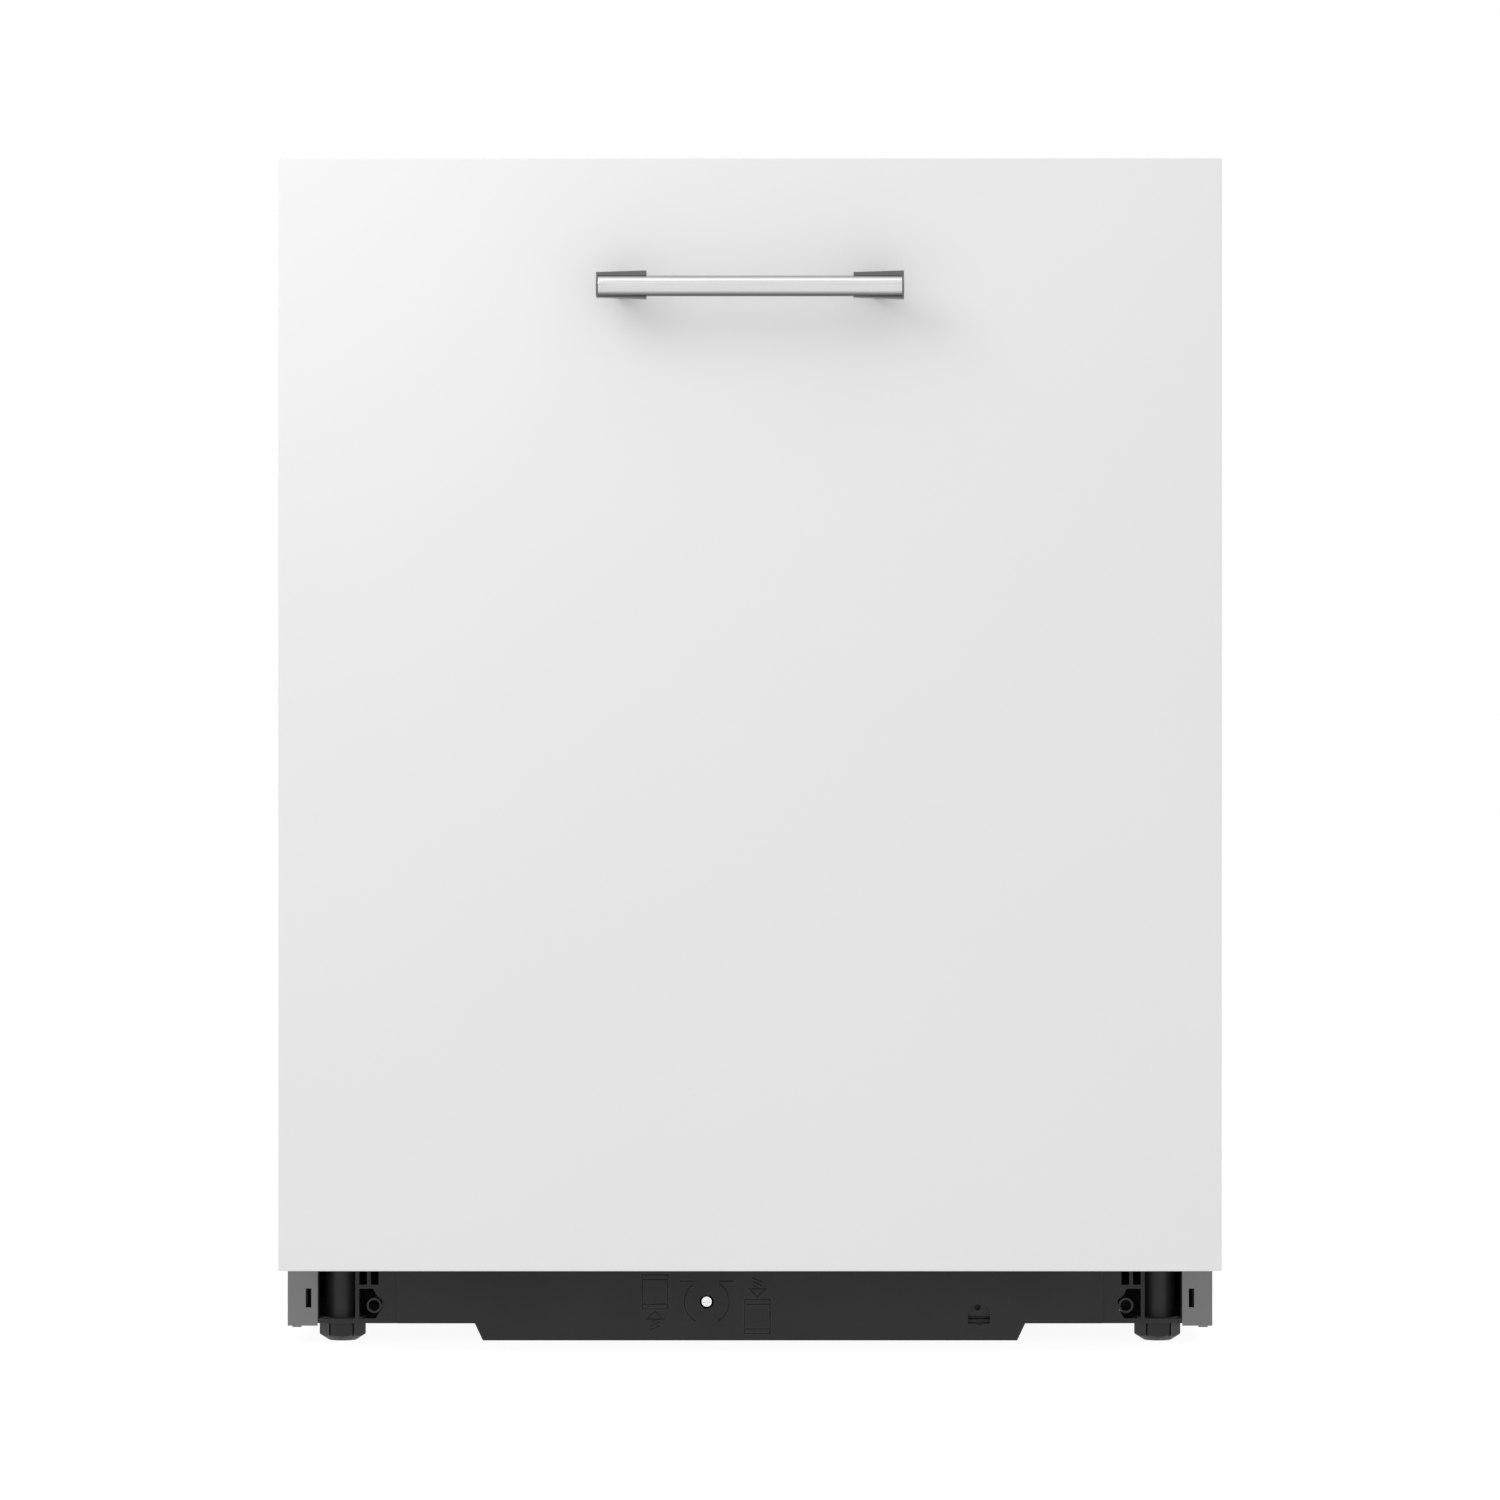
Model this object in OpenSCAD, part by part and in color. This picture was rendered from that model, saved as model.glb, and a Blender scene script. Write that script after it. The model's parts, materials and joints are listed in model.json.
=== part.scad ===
// Built-in dishwasher with a fitted furniture door, bar handle, three racks and a recessed base.
// Origin: on the floor, under the middle of the bounding box. +Z is up and -Y is the front.

/* [Cabinet] */
// Width over the side panels
body_w = 598; // [596:1:600]
// Height to the top of the cabinet
body_h = 757; // [757:1:765]
// Depth behind the furniture panel
body_d = 550; // [548:1:560]
// Set-back of the base behind the furniture panel's face
kick_depth = 95; // [92:1:100]

/* [Furniture panel] */
// Width of the furniture panel
panel_w = 596; // [590:1:598]
// Height of the furniture panel
panel_h = 703; // [695:1:704]
// Thickness of the furniture panel
panel_t = 19; // [16:1:19]

/* [Handle] */
// Length of the handle
handle_len = 193; // [160:1:320]
// Diameter of the handle bar
handle_dia = 13; // [12:0.2:14]
// Reach of the handle in front of the panel
handle_out = 37; // [34:1:45]
// Distance of the handle's middle below the panel's top edge
handle_drop = 83; // [60:1:120]

/* [Feet] */
// Distance of each front foot from the middle
foot_x = 264.5; // [264:0.5:266]
// Distance across the corners of a front foot
foot_dia = 30.8; // [28:0.2:31]

/* [Hidden] */
$fn = 48;
sheet = 1;
seam = 0.05;
total_d = handle_out + panel_t + body_d;
y_front = -total_d / 2;
y_back = total_d / 2;
y_panel = y_front + handle_out;
y_door = y_panel + panel_t;
door_t = 50;
y_liner = y_door + door_t;
y_frame = y_liner + 5;
y_kick = y_panel + kick_depth;
side_x = body_w / 2;
panel_top = body_h - 0.5;
panel_bottom = panel_top - panel_h;
door_x = side_x - 3;

// Door hinge
hinge_y = y_liner - 32;
hinge_z = 100;
hinge_pin_r = 5;
running = 0.06;

// Tub
tub_x = 276.5;
tub_wall = 1.5;
tub_back_y = y_back - 31;
tub_top = body_h - 22;
ledge_z = 132;
basin_z = 118;
ledge_w = 36;
apron_x = tub_x + 1.5;
apron_z = hinge_z - 14;
door_low = hinge_z + 14;
door_high = tub_top;

// Spray system
arm_y = 30;
lower_arm_z = 147;
upper_arm_z = 450;
top_arm_z = 706;
hub_r = 12;
port_z = upper_arm_z + 14;

// Sump and filter
sump_x = 78;
sump_y = 68;
sump_r = 60;
filter_r = 33;

// Racks
wire_r = 2;
rim_r = 3;
wire_step = 30;
rack_front = y_liner + 17;
rack_back = 235;
lower_hw = 250;
lower_z = 174;
lower_rim = 328;
upper_hw = 240;
upper_z = 476;
upper_rim = 612;
wheel_r = 17;
wheel_z = ledge_z + wheel_r + 0.3;
wheel_y = [rack_front + 95, rack_back - 60];
fold_y = -125;
fold_z = lower_z + 8.4;
rail_z = 560;
tray_z = 655;
shelf_z = 556;
shelf_x = 229;

// Feet and levelling
foot_y = y_kick + 18;
foot_low = 15;
knob_h = 11.8;
stem_r = 5.5;
rear_foot_y = 232;
adjust_x = -28;
adjust_z = 26;

// Controls
button_x = [96, 132, 168, 204];
button_y = y_door + 24;
lock_x = 26;

// ---------- Shared shapes ----------

// A block given by its lowest and highest corner
module block(lo, hi) {
    translate(lo) cube(hi - lo);
}

module rod_x(r, x0, x1, y, z) {
    translate([x0, y, z]) rotate([0, 90, 0]) cylinder(r = r, h = x1 - x0);
}

module rod_y(r, y0, y1, x, z) {
    translate([x, y0, z]) rotate([-90, 0, 0]) cylinder(r = r, h = y1 - y0);
}

module rod_z(r, z0, z1, x, y) {
    translate([x, y, z0]) cylinder(r = r, h = z1 - z0);
}

module both_sides() {
    children();
    mirror([1, 0, 0]) children();
}

// A flat outline drawn in X and Z, made solid from y0 to y1
module upright_plate(y0, y1) {
    translate([0, y1, 0]) rotate([90, 0, 0]) linear_extrude(y1 - y0) children();
}

// A flat outline drawn in Y and Z, made solid from x0 to x1
module side_plate(x0, x1) {
    translate([x0, 0, 0]) rotate([90, 0, 90]) linear_extrude(x1 - x0) children();
}

module rounded_rect(lo, hi, r) {
    translate([lo[0] + r, lo[1]]) square([hi[0] - lo[0] - 2 * r, hi[1] - lo[1]]);
    translate([lo[0], lo[1] + r]) square([hi[0] - lo[0], hi[1] - lo[1] - 2 * r]);
    for (x = [lo[0] + r, hi[0] - r], y = [lo[1] + r, hi[1] - r]) translate([x, y]) circle(r);
}

// ---------- Base ----------

// Half of the fascia's outline, with the deeper lip in the middle
lip_x = 172.7;
lip_z = 1;
fascia_x = side_x - 19.6;
fascia_low = 12;
fascia_high = hinge_z - 16;
fascia_t = 2.5;

module fascia_outline(half) {
    polygon([
        [-half, fascia_high], [-half, fascia_low], [-lip_x - 5.2, fascia_low], [-lip_x, lip_z],
        [lip_x, lip_z], [lip_x + 5.2, fascia_low], [half, fascia_low], [half, fascia_high]
    ]);
}

// Window round one foot sleeve with its pockets and the screw boss beside it
module foot_window() {
    translate([-fascia_x - 1, foot_low]) square([25.2, fascia_high]);
    for (x = [-252.8, -245.3]) translate([x, 36.8]) square([5.2, fascia_high]);
    polygon([
        [-252.8, 34.4], [-243.6, 34.4], [-241.4, 30], [-237.6, 27], [-237.6, 22.5], [-242, 15],
        [-252.8, 15]
    ]);
}

boss_x = 243;
boss_z = 23.6;

fascia_step = 1;
mark_w = 0.9;
mark_depth = 1.2;
recess_x = 148;
recess_r = 7.1;

// Sunk frame with a doubled line along its top and bottom
module marked_box() {
    for (s = [-1, 1]) {
        translate([s * 8.2 - mark_w / 2, -10.5]) square([mark_w, 21]);
        for (dz = [8, 11]) translate([-8.6, s * dz - mark_w / 2]) square([17.2, mark_w]);
    }
}

// Sunk arrow of chevrons, dir 1 points up
module marked_arrow(dir) {
    scale([1, dir]) {
        difference() {
            polygon([[-6.4, 1], [0, 7.4], [6.4, 1]]);
            polygon([[-4, 2], [0, 6], [4, 2]]);
        }
        for (k = [0 : 2]) polygon([
            [-3, -6 + 2.4 * k], [3, -3.4 + 2.4 * k], [3, -2.5 + 2.4 * k], [-3, -5.1 + 2.4 * k]
        ]);
    }
}

// Two sunk arcs round the levelling screw
module turn_marks() {
    for (a = [-60, 125]) rotate([0, 0, a]) rotate_extrude(angle = 115) {
        translate([14, -mark_depth]) square([mark_w, 2 * mark_depth]);
    }
}

// The marks that explain the levelling screw, cut into the fascia's face
module levelling_marks() {
    translate([0, y_kick - fascia_step, 0]) rotate([90, 0, 0]) {
        translate([0, 0, -mark_depth]) linear_extrude(2 * mark_depth) {
            translate([-61.4, 32.5]) marked_box();
            translate([-61.4, 13.5]) marked_arrow(1);
            translate([4.8, 16.5]) marked_box();
            translate([4.8, 36]) marked_arrow(-1);
            for (s = [-1, 1]) translate([adjust_x + s * 12.7 - 4.4, adjust_z + 13]) {
                square([8.8, mark_w]);
            }
        }
        translate([adjust_x, adjust_z, 0]) turn_marks();
    }
}

module base_front() {
    color([0.17, 0.17, 0.17]) difference() {
        union() {
            upright_plate(y_kick, y_kick + fascia_t) difference() {
                fascia_outline(fascia_x);
                foot_window();
                mirror([1, 0]) foot_window();
            }
            upright_plate(y_kick - fascia_step, y_kick) fascia_outline(227.7);
            both_sides() {
                rod_y(4.8, y_kick - 1, y_kick + 14, boss_x, boss_z);
                block([234, y_kick, boss_z - 1], [239, y_kick + fascia_t, boss_z + 1]);
                block([252.8, y_kick, foot_low + 1], [255.2, y_kick + 9.5, fascia_high]);
            }
        }
        both_sides() rod_y(3.6, y_kick - 2, y_kick + 15, boss_x, boss_z);
        levelling_marks();
        rod_y(4.5, y_kick - 2, y_kick + 5, adjust_x, adjust_z);
        // Service recess: a round-topped pocket with an opening below a small hole
        translate([recess_x, y_kick - 2, 0]) {
            block([-recess_r, 0, 11.8], [recess_r, 3, 18.1]);
            rod_y(recess_r, 0, 3, 0, 18.1);
            block([-recess_r, 0, 11.8], [recess_r, 5, 16.9]);
            rod_y(2, 0, 5, -0.8, 22.2);
        }
    }
}

tray_x = side_x - 10;
tray_wall = 2.5;
tray_top = 104;
tray_y0 = y_kick + fascia_t + 0.2;
tray_y1 = tub_back_y;
tray_floor = 12;

module foot_sleeve(x, y, r, bore, z1) {
    difference() {
        union() {
            rod_z(r, foot_low, z1, x, y);
            translate([x, y, foot_low - 3]) cylinder(r1 = r - 2.5, r2 = r + 2.7, h = 3.4);
        }
        rod_z(bore, foot_low - 6, z1 + 1, x, y);
    }
}

module base_tray() {
    color([0.13, 0.13, 0.14]) difference() {
        union() {
            difference() {
                block([-tray_x, tray_y0, tray_floor], [tray_x, tray_y1, tray_top]);
                block([-tray_x + tray_wall, tray_y0 + tray_wall, tray_floor + tray_wall],
                      [tray_x - tray_wall, tray_y1 - tray_wall, tray_top + 1]);
                for (s = [-1, 1]) {
                    // Opening behind the fascia's pockets
                    block([s * 245.3 - 7.3, tray_y0 - 1, foot_low],
                          [s * 245.3 + 7.3, tray_y0 + 10, fascia_high]);
                    // Opening behind the slot in the side panel's flange
                    block([s * 284.5 - 4.5, tray_y0 - 1, 20],
                          [s * 284.5 + 4.5, tray_y0 + tray_wall + 1, 37]);
                    // Notch in each front corner for the foot sleeve
                    block([s * foot_x - 14.4, tray_y0 - 1, foot_low - 4],
                          [s * foot_x + 14.4, tray_y0 + 30, 95]);
                }
            }
            both_sides() {
                foot_sleeve(foot_x, foot_y, 11.5, stem_r + running, 96);
                block([foot_x - 14.4, tray_y0, 95], [foot_x + 14.4, tray_y0 + 30, 98]);
            }
            // Tower that guides the rear foot, and ribs that carry the adjuster rod
            rod_z(15, tray_floor, 100, 0, rear_foot_y);
            for (y = [-100, 20, 140]) {
                block([adjust_x - 7, y, tray_floor + 1], [adjust_x + 7, y + 4, adjust_z + 6]);
            }
            // Pump cradle
            for (y = [-50, 6]) block([-150, y, tray_floor + 1], [-104, y + 5, 33.8]);
        }
        both_sides() rod_z(stem_r + running, tray_floor - 3, 99, foot_x, foot_y);
        rod_z(10 + running, tray_floor - 1, 101, 0, rear_foot_y);
        rod_y(8, tray_y0 - 1, tray_y0 + tray_wall + 1, adjust_x, adjust_z);
        // Opening behind the fascia's service recess
        block([recess_x - 8, tray_y0 - 1, tray_floor + tray_wall],
              [recess_x + 8, tray_y0 + tray_wall + 1, 25]);
        // Open cradles for the adjuster rod
        block([adjust_x - 3.2, -101, adjust_z - 3.2], [adjust_x + 3.2, 218, tray_top]);
        // Openings in the rear wall
        rod_y(15, tray_y1 - 4, tray_y1 + 1, -230, 62);
        rod_y(12, tray_y1 - 4, tray_y1 + 1, -180, 48);
        block([-139, tray_y1 - 4, 65], [-121, tray_y1 + 1, tray_top + 1]);
        // Slots that drain the tray and lighten its floor
        for (x = [120 : 30 : 240], y = [-90, 150]) {
            block([x - 4, y - 20, tray_floor - 1], [x + 4, y + 20, tray_floor + 4]);
        }
    }
}

// ---------- Cabinet ----------

flange_w = 19.4;
flange_low = 10.4;

// Closed ring for the bead pressed inwards into a side panel, drawn in Y and Z
module bead_ring(half) {
    difference() {
        rounded_rect([-150 - half, 150 - half], [258 + half, 690 + half], 40 + half);
        rounded_rect([-150 + half, 150 + half], [258 - half, 690 - half], 40 - half);
    }
}

module side_panel() {
    color([0.47, 0.47, 0.47]) difference() {
        union() {
            block([side_x - sheet, y_kick, flange_low], [side_x, y_back, fascia_high]);
            block([side_x - sheet, y_frame, fascia_high], [side_x, y_back, body_h]);
            // Lower front flange beside the base
            block([side_x - flange_w, y_kick, flange_low], [side_x, y_kick + sheet, fascia_high]);
            // Small tab under the flange
            block([side_x - 9, y_kick, flange_low - 0.9], [side_x - 3, y_kick + sheet, flange_low]);
            block([side_x - 18, y_frame + 4, body_h - sheet], [side_x, y_back, body_h]);
            block([side_x - 14, y_back - sheet, 114], [side_x, y_back, body_h]);
            side_plate(side_x - 2 * sheet, side_x - sheet) bead_ring(5);
        }
        side_plate(side_x - sheet, side_x + 1) bead_ring(4);
        // Slot in the flange
        block([285.5 - 1.8, y_kick - 1, 22.2], [285.5 + 1.8, y_kick + 2, 34.5]);
        for (z = [200, 640]) {
            rod_x(2.5, side_x - 3, side_x + 1, y_frame + 14, z);
        }
    }
    // Lanced edge bent in from the slot
    color([0.47, 0.47, 0.47]) block([283, y_kick + sheet, 22.2], [283.7, y_kick + 2.5, 34.5]);
}

module rear_panel() {
    color([0.66, 0.67, 0.68]) difference() {
        union() {
            block([-side_x + 14.2, y_back - sheet, 106], [side_x - 14.2, y_back, body_h - 1.2]);
            // Pressed stiffening ribs
            for (x = [-200, -100, 0, 100, 200]) {
                block([x - 12, y_back - 4, 190], [x + 12, y_back - sheet, 690]);
            }
        }
        for (x = [-200, -100, 0, 100, 200]) {
            block([x - 10, y_back - 3, 192], [x + 10, y_back + 1, 688]);
        }
    }
}

module tub_shell() {
    color([0.75, 0.76, 0.77]) {
        both_sides() {
            block([tub_x, y_frame + 2, basin_z],
                  [tub_x + tub_wall, tub_back_y + tub_wall, tub_top - seam]);
        }
        block([-tub_x - tub_wall, y_frame + 2, tub_top],
              [tub_x + tub_wall, tub_back_y + tub_wall, tub_top + tub_wall]);
        block([-tub_x + seam, tub_back_y, basin_z],
              [tub_x - seam, tub_back_y + tub_wall, tub_top - seam]);
    }
}

basin_x = tub_x - ledge_w;
basin_y0 = y_frame + 34;
basin_y1 = tub_back_y - 32;

module tub_floor() {
    color([0.73, 0.74, 0.75]) difference() {
        block([-tub_x, y_frame + 2, basin_z], [tub_x, tub_back_y, ledge_z]);
        block([-basin_x, basin_y0, basin_z + tub_wall], [basin_x, basin_y1, ledge_z + 1]);
        // Hollow underside below the ledges
        for (s = [-1, 1]) {
            block([s * (tub_x + basin_x) / 2 - ledge_w / 2 + tub_wall, y_frame + 4, basin_z - 1],
                  [s * (tub_x + basin_x) / 2 + ledge_w / 2 - tub_wall, tub_back_y - 2,
                   ledge_z - tub_wall]);
        }
        rod_z(sump_r, basin_z - 1, basin_z + 5, sump_x, sump_y);
        rod_z(hub_r + 5, basin_z - 1, basin_z + 5, 0, arm_y);
        rod_z(10, basin_z - 1, ledge_z + 1, 0, tub_back_y - 15);
        rod_z(31, basin_z - 1, basin_z + 5, -165, -75);
    }
}

module front_frame() {
    color([0.78, 0.79, 0.8]) {
        both_sides() difference() {
            block([tub_x, y_frame, door_low + 0.5], [side_x - sheet, y_frame + 2, body_h - sheet]);
            for (z = [200, 640]) rod_y(2.2, y_frame - 1, y_frame + 3, side_x - 8, z);
        }
        block([-tub_x + seam, y_frame, tub_top], [tub_x - seam, y_frame + 2, body_h - sheet]);
        block([-tub_x + seam, y_frame, tray_top], [tub_x - seam, y_frame + 2, ledge_z]);
        // Sill return that carries the floor's front edge
        block([-tub_x + seam, y_frame + 2 + seam, tray_top], [tub_x - seam, y_frame + 22, tray_top + 2]);
    }
}

module tub_gasket() {
    color([0.12, 0.12, 0.13]) {
        both_sides() block([tub_x + 0.5, y_liner + 0.4, 140], [tub_x + 9, y_frame, tub_top + 6.5]);
        block([-tub_x - 0.5 + seam, y_liner + 0.4, tub_top + 0.5],
              [tub_x + 0.5 - seam, y_frame, tub_top + 6.5]);
    }
}

module top_insulation() {
    color([0.2, 0.2, 0.2]) {
        block([-tub_x - 1, y_frame + 34, tub_top + tub_wall], [tub_x + 1, tub_back_y, tub_top + 12]);
    }
}

rail_x = side_x - sheet;

module top_rails() {
    color([0.66, 0.67, 0.68]) {
        // Front and rear cross rails between the side panels
        difference() {
            block([-rail_x, y_frame + 2, body_h - 16], [rail_x, y_frame + 30, body_h - sheet]);
            block([-rail_x - 1, y_frame + 3.2, body_h - 17], [rail_x + 1, y_frame + 28.8, body_h - 2.2]);
            for (x = [-180, 180]) rod_z(2, body_h - 5, body_h, x, y_frame + 17);
        }
        difference() {
            block([-rail_x, y_back - 29, body_h - 16], [rail_x, y_back - 5, body_h - sheet]);
            block([-rail_x - 1, y_back - 27.8, body_h - 17], [rail_x + 1, y_back - 6.2, body_h - 2.2]);
        }
    }
}

bracket_x = 180;

// Steel tabs that screw to the underside of a worktop
module worktop_brackets() {
    color([0.7, 0.71, 0.72]) both_sides() difference() {
        union() {
            block([bracket_x - 15, y_frame + 6, body_h - sheet], [bracket_x + 15, y_frame + 28, body_h]);
            block([bracket_x - 15, y_frame - 0.4, body_h], [bracket_x + 15, y_frame + 28, body_h + 1.5]);
        }
        rod_z(2.2, body_h - 3, body_h + 3, bracket_x, y_frame + 17);
    }
}

strike_z = tub_top + 8.5;

module latch_strike() {
    color([0.8, 0.8, 0.8]) difference() {
        union() {
            block([-10, y_frame - 24, strike_z], [10, y_frame, strike_z + 2]);
            block([-16, y_frame - 1.6, strike_z - 1], [16, y_frame, body_h - 2]);
        }
        block([-6, y_frame - 19, strike_z - 1], [6, y_frame - 8, strike_z + 4]);
    }
}

// ---------- Water system ----------

module sump() {
    color([0.82, 0.82, 0.8]) difference() {
        union() {
            rod_z(sump_r + 8, basin_z - 4, basin_z - 0.2, sump_x, sump_y);
            rod_z(sump_r, 40, basin_z - 3, sump_x, sump_y);
            // Channel to the lower spray arm's riser
            block([-16, arm_y - 16, 92], [sump_x - 30, arm_y + 16, basin_z - 4]);
            rod_z(16, 92, basin_z - 4, 0, arm_y);
            rod_z(hub_r, basin_z - 5, lower_arm_z + 9.6, 0, arm_y);
            rod_y(20, sump_y - 90, sump_y - 40, sump_x - 10, 66);
        }
        rod_z(sump_r - 4, 44, basin_z + 1, sump_x, sump_y);
        rod_z(hub_r - 3, 98, lower_arm_z + 11, 0, arm_y);
    }
}

module filter_plate() {
    color([0.8, 0.81, 0.82]) difference() {
        translate([0, 0, basin_z + tub_wall]) linear_extrude(1.2) {
            rounded_rect([-70, -40], [170, 165], 30);
        }
        rod_z(filter_r + 0.5, basin_z, basin_z + 5, sump_x, sump_y);
        rod_z(hub_r + 4, basin_z, basin_z + 5, 0, arm_y);
    }
}

module filter_cup() {
    color([0.35, 0.36, 0.38]) {
        difference() {
            rod_z(filter_r, 62, basin_z + 6, sump_x, sump_y);
            rod_z(filter_r - 2.5, 65, basin_z + 7, sump_x, sump_y);
        }
        // Bar that is turned to unlock the cup
        block([sump_x - filter_r + 2.4, sump_y - 3, basin_z - 6],
              [sump_x + filter_r - 2.4, sump_y + 3, basin_z + 5]);
    }
}

module circulation_pump() {
    color([0.25, 0.26, 0.28]) {
        // Motor
        rod_y(32, -66, 20, -127, 66);
        // Heated pump chamber
        rod_y(38, 20, 62, -127, 64);
        rod_y(14, 62, 76, -127, 64);
        rod_y(6, -74, -66, -127, 66);
    }
}

module drain_pump() {
    color([0.3, 0.32, 0.34]) {
        rod_x(22, sump_x + sump_r + 0.2, 175, 68, 62);
        rod_x(17, 175, 215, 68, 62);
        rod_z(7, 84, 96, 158, 68);
    }
}

module inlet_valve() {
    color([0.9, 0.9, 0.88]) {
        block([-248, tray_y1 - 48, 44], [-212, tray_y1 - 6, 84]);
        rod_y(14, tray_y1 - 6, tray_y1 + 8, -230, 62);
        difference() {
            rod_y(13.2, tray_y1 + 8, tray_y1 + 24, -230, 62);
            rod_y(9, tray_y1 + 10, tray_y1 + 25, -230, 62);
        }
    }
}

module drain_spigot() {
    color([0.3, 0.3, 0.32]) difference() {
        union() {
            rod_y(14, tray_y1 + 0.2, tray_y1 + 4, -180, 48);
            rod_y(11.5, tray_y1 - 20, tray_y1 + 1, -180, 48);
            rod_y(10, tray_y1 + 3, tray_y1 + 28, -180, 48);
        }
        rod_y(7.5, tray_y1 - 21, tray_y1 + 29, -180, 48);
    }
}

module cord_gland() {
    color([0.2, 0.2, 0.2]) difference() {
        union() {
            rod_y(12, tray_y1 + 0.2, tray_y1 + 5, -130, 74);
            rod_y(8.5, tray_y1 - 12, tray_y1 + 16, -130, 74);
        }
        rod_y(4.5, tray_y1 - 13, tray_y1 + 17, -130, 74);
    }
}

module softener() {
    color([0.85, 0.85, 0.82]) {
        difference() {
            block([-215, -125, 36], [-115, -78, 108]);
            block([-210, -120, 40], [-120, -83, 104]);
        }
        // Salt neck that reaches through the tub floor
        difference() {
            union() {
                rod_z(26, 100, basin_z + 6, -165, -75);
                block([-180, -90, 100], [-150, -78, 108]);
            }
            rod_z(20, 99, basin_z + 7, -165, -75);
        }
    }
}

module softener_cap() {
    color([0.85, 0.86, 0.86]) {
        rod_z(28, basin_z + 6.3, basin_z + 12, -165, -75);
        rod_z(19, basin_z - 4, basin_z + 6.3, -165, -75);
        block([-185, -78, basin_z + 12], [-145, -72, basin_z + 18]);
    }
}

pipe_y = tub_back_y - 15;

module feed_pipe() {
    color([0.55, 0.57, 0.6]) {
        rod_z(9, 104, 726, 0, pipe_y);
        block([-18, pipe_y + 5, 300], [18, tub_back_y, 312]);
        block([-18, pipe_y + 5, 620], [18, tub_back_y, 632]);
        // Port that feeds the upper rack
        rod_y(12, 239, pipe_y, 0, port_z);
        // Ceiling branch to the top spray arm
        rod_y(7, arm_y - 12, pipe_y, 0, 726);
        rod_z(hub_r - 3, top_arm_z - 4, 726, 0, arm_y);
    }
}

// Rotating arm: two blades with round ends and a sleeve round its post
module spray_arm(z, reach, half_w, post_r, sleeve) {
    difference() {
        union() {
            translate([0, arm_y, z]) linear_extrude(10) {
                translate([-reach + half_w, -half_w]) square([2 * (reach - half_w), 2 * half_w]);
                for (s = [-1, 1]) translate([s * (reach - half_w), 0]) circle(half_w);
            }
            rod_z(post_r + 10, z - sleeve, z + 13, 0, arm_y);
        }
        rod_z(post_r + running, z - sleeve - 1, z + 10, 0, arm_y);
    }
}

module lower_spray_arm() {
    color([0.62, 0.64, 0.66]) spray_arm(lower_arm_z, 204, 20, hub_r, 6);
}

module upper_spray_arm() {
    color([0.62, 0.64, 0.66]) translate([0, 0, 2 * upper_arm_z]) mirror([0, 0, 1]) {
        spray_arm(upper_arm_z, 185, 18, hub_r - 3, 0);
    }
}

module top_spray_arm() {
    color([0.62, 0.64, 0.66]) translate([0, 0, 2 * top_arm_z]) mirror([0, 0, 1]) {
        spray_arm(top_arm_z, 130, 15, hub_r - 3, 4);
    }
}

// ---------- Hinges, springs and rails ----------

module hinge_brackets() {
    color([0.6, 0.61, 0.62]) both_sides() {
        side_plate(tray_x, tray_x + 3) {
            translate([hinge_y, hinge_z]) circle(10);
            translate([hinge_y, hinge_z - 10]) square([spring_y + 10 - hinge_y, 20]);
            translate([tray_y0 + 2, 50]) square([60, 50]);
        }
        rod_x(hinge_pin_r, 282.4, tray_x + 0.5, hinge_y, hinge_z);
        rod_x(hinge_pin_r + 2.5, 281, 282.4, hinge_y, hinge_z);
    }
}

module hinge_arms() {
    color([0.6, 0.61, 0.62]) both_sides() side_plate(283, 288) difference() {
        union() {
            translate([hinge_y, hinge_z]) circle(11);
            translate([hinge_y - 11, hinge_z]) square([22, 210]);
            translate([y_door + sheet, hinge_z + 16]) square([10, 194]);
        }
        translate([hinge_y, hinge_z]) circle(hinge_pin_r + running);
    }
}

spring_y = -110;
spring_x = 287.5;

module door_springs() {
    color([0.5, 0.5, 0.52]) both_sides() {
        rod_z(6, 140, 300, spring_x, spring_y);
        rod_z(1.2, 118, 140, spring_x, spring_y);
        rod_z(1.2, 300, 320, spring_x, spring_y);
        // Anchor clips on the tub wall and on the hinge bracket
        block([tub_x + tub_wall, spring_y - 8, 320], [296, spring_y + 8, 323]);
        block([284, spring_y - 8, hinge_z + 10], [293, spring_y + 8, 118]);
    }
}

rail_y0 = y_frame + 8;
rail_y1 = rack_back + 4;

// Cross-section, drawn at the right-hand wall with the wall at x = tub_x
module fixed_rail_section() {
    difference() {
        translate([tub_x - 11, rail_z - 13]) square([11, 26]);
        translate([tub_x - 9.5, rail_z - 11.5]) square([8, 23]);
        translate([tub_x - 12, rail_z - 8]) square([4, 16]);
    }
}

module middle_rail_section() {
    translate([tub_x - 9.1, rail_z - 11]) square([6.5, 22]);
    translate([tub_x - 17, rail_z - 6]) square([8, 12]);
    translate([tub_x - 20.5, rail_z - 10]) square([3.5, 20]);
}

module rack_runner_section() {
    difference() {
        translate([tub_x - 24, rail_z - 14]) square([9.5, 28]);
        translate([tub_x - 21, rail_z - 10.5]) square([4.4, 21]);
        translate([tub_x - 18, rail_z - 6.5]) square([4, 13]);
    }
}

module fixed_rails() {
    color([0.7, 0.71, 0.72]) both_sides() {
        upright_plate(rail_y0, rail_y1) fixed_rail_section();
        // Ledges for the cutlery tray
        block([tub_x - 13, rail_y0, tray_z + 4], [tub_x, rail_y1, tray_z + 6]);
        block([tub_x - 2, rail_y0, tray_z + 6], [tub_x, rail_y1, tray_z + 18]);
    }
}

module upper_middle_rails() {
    color([0.75, 0.76, 0.77]) both_sides() upright_plate(rail_y0, rail_y1) middle_rail_section();
}

// ---------- Feet ----------

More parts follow.
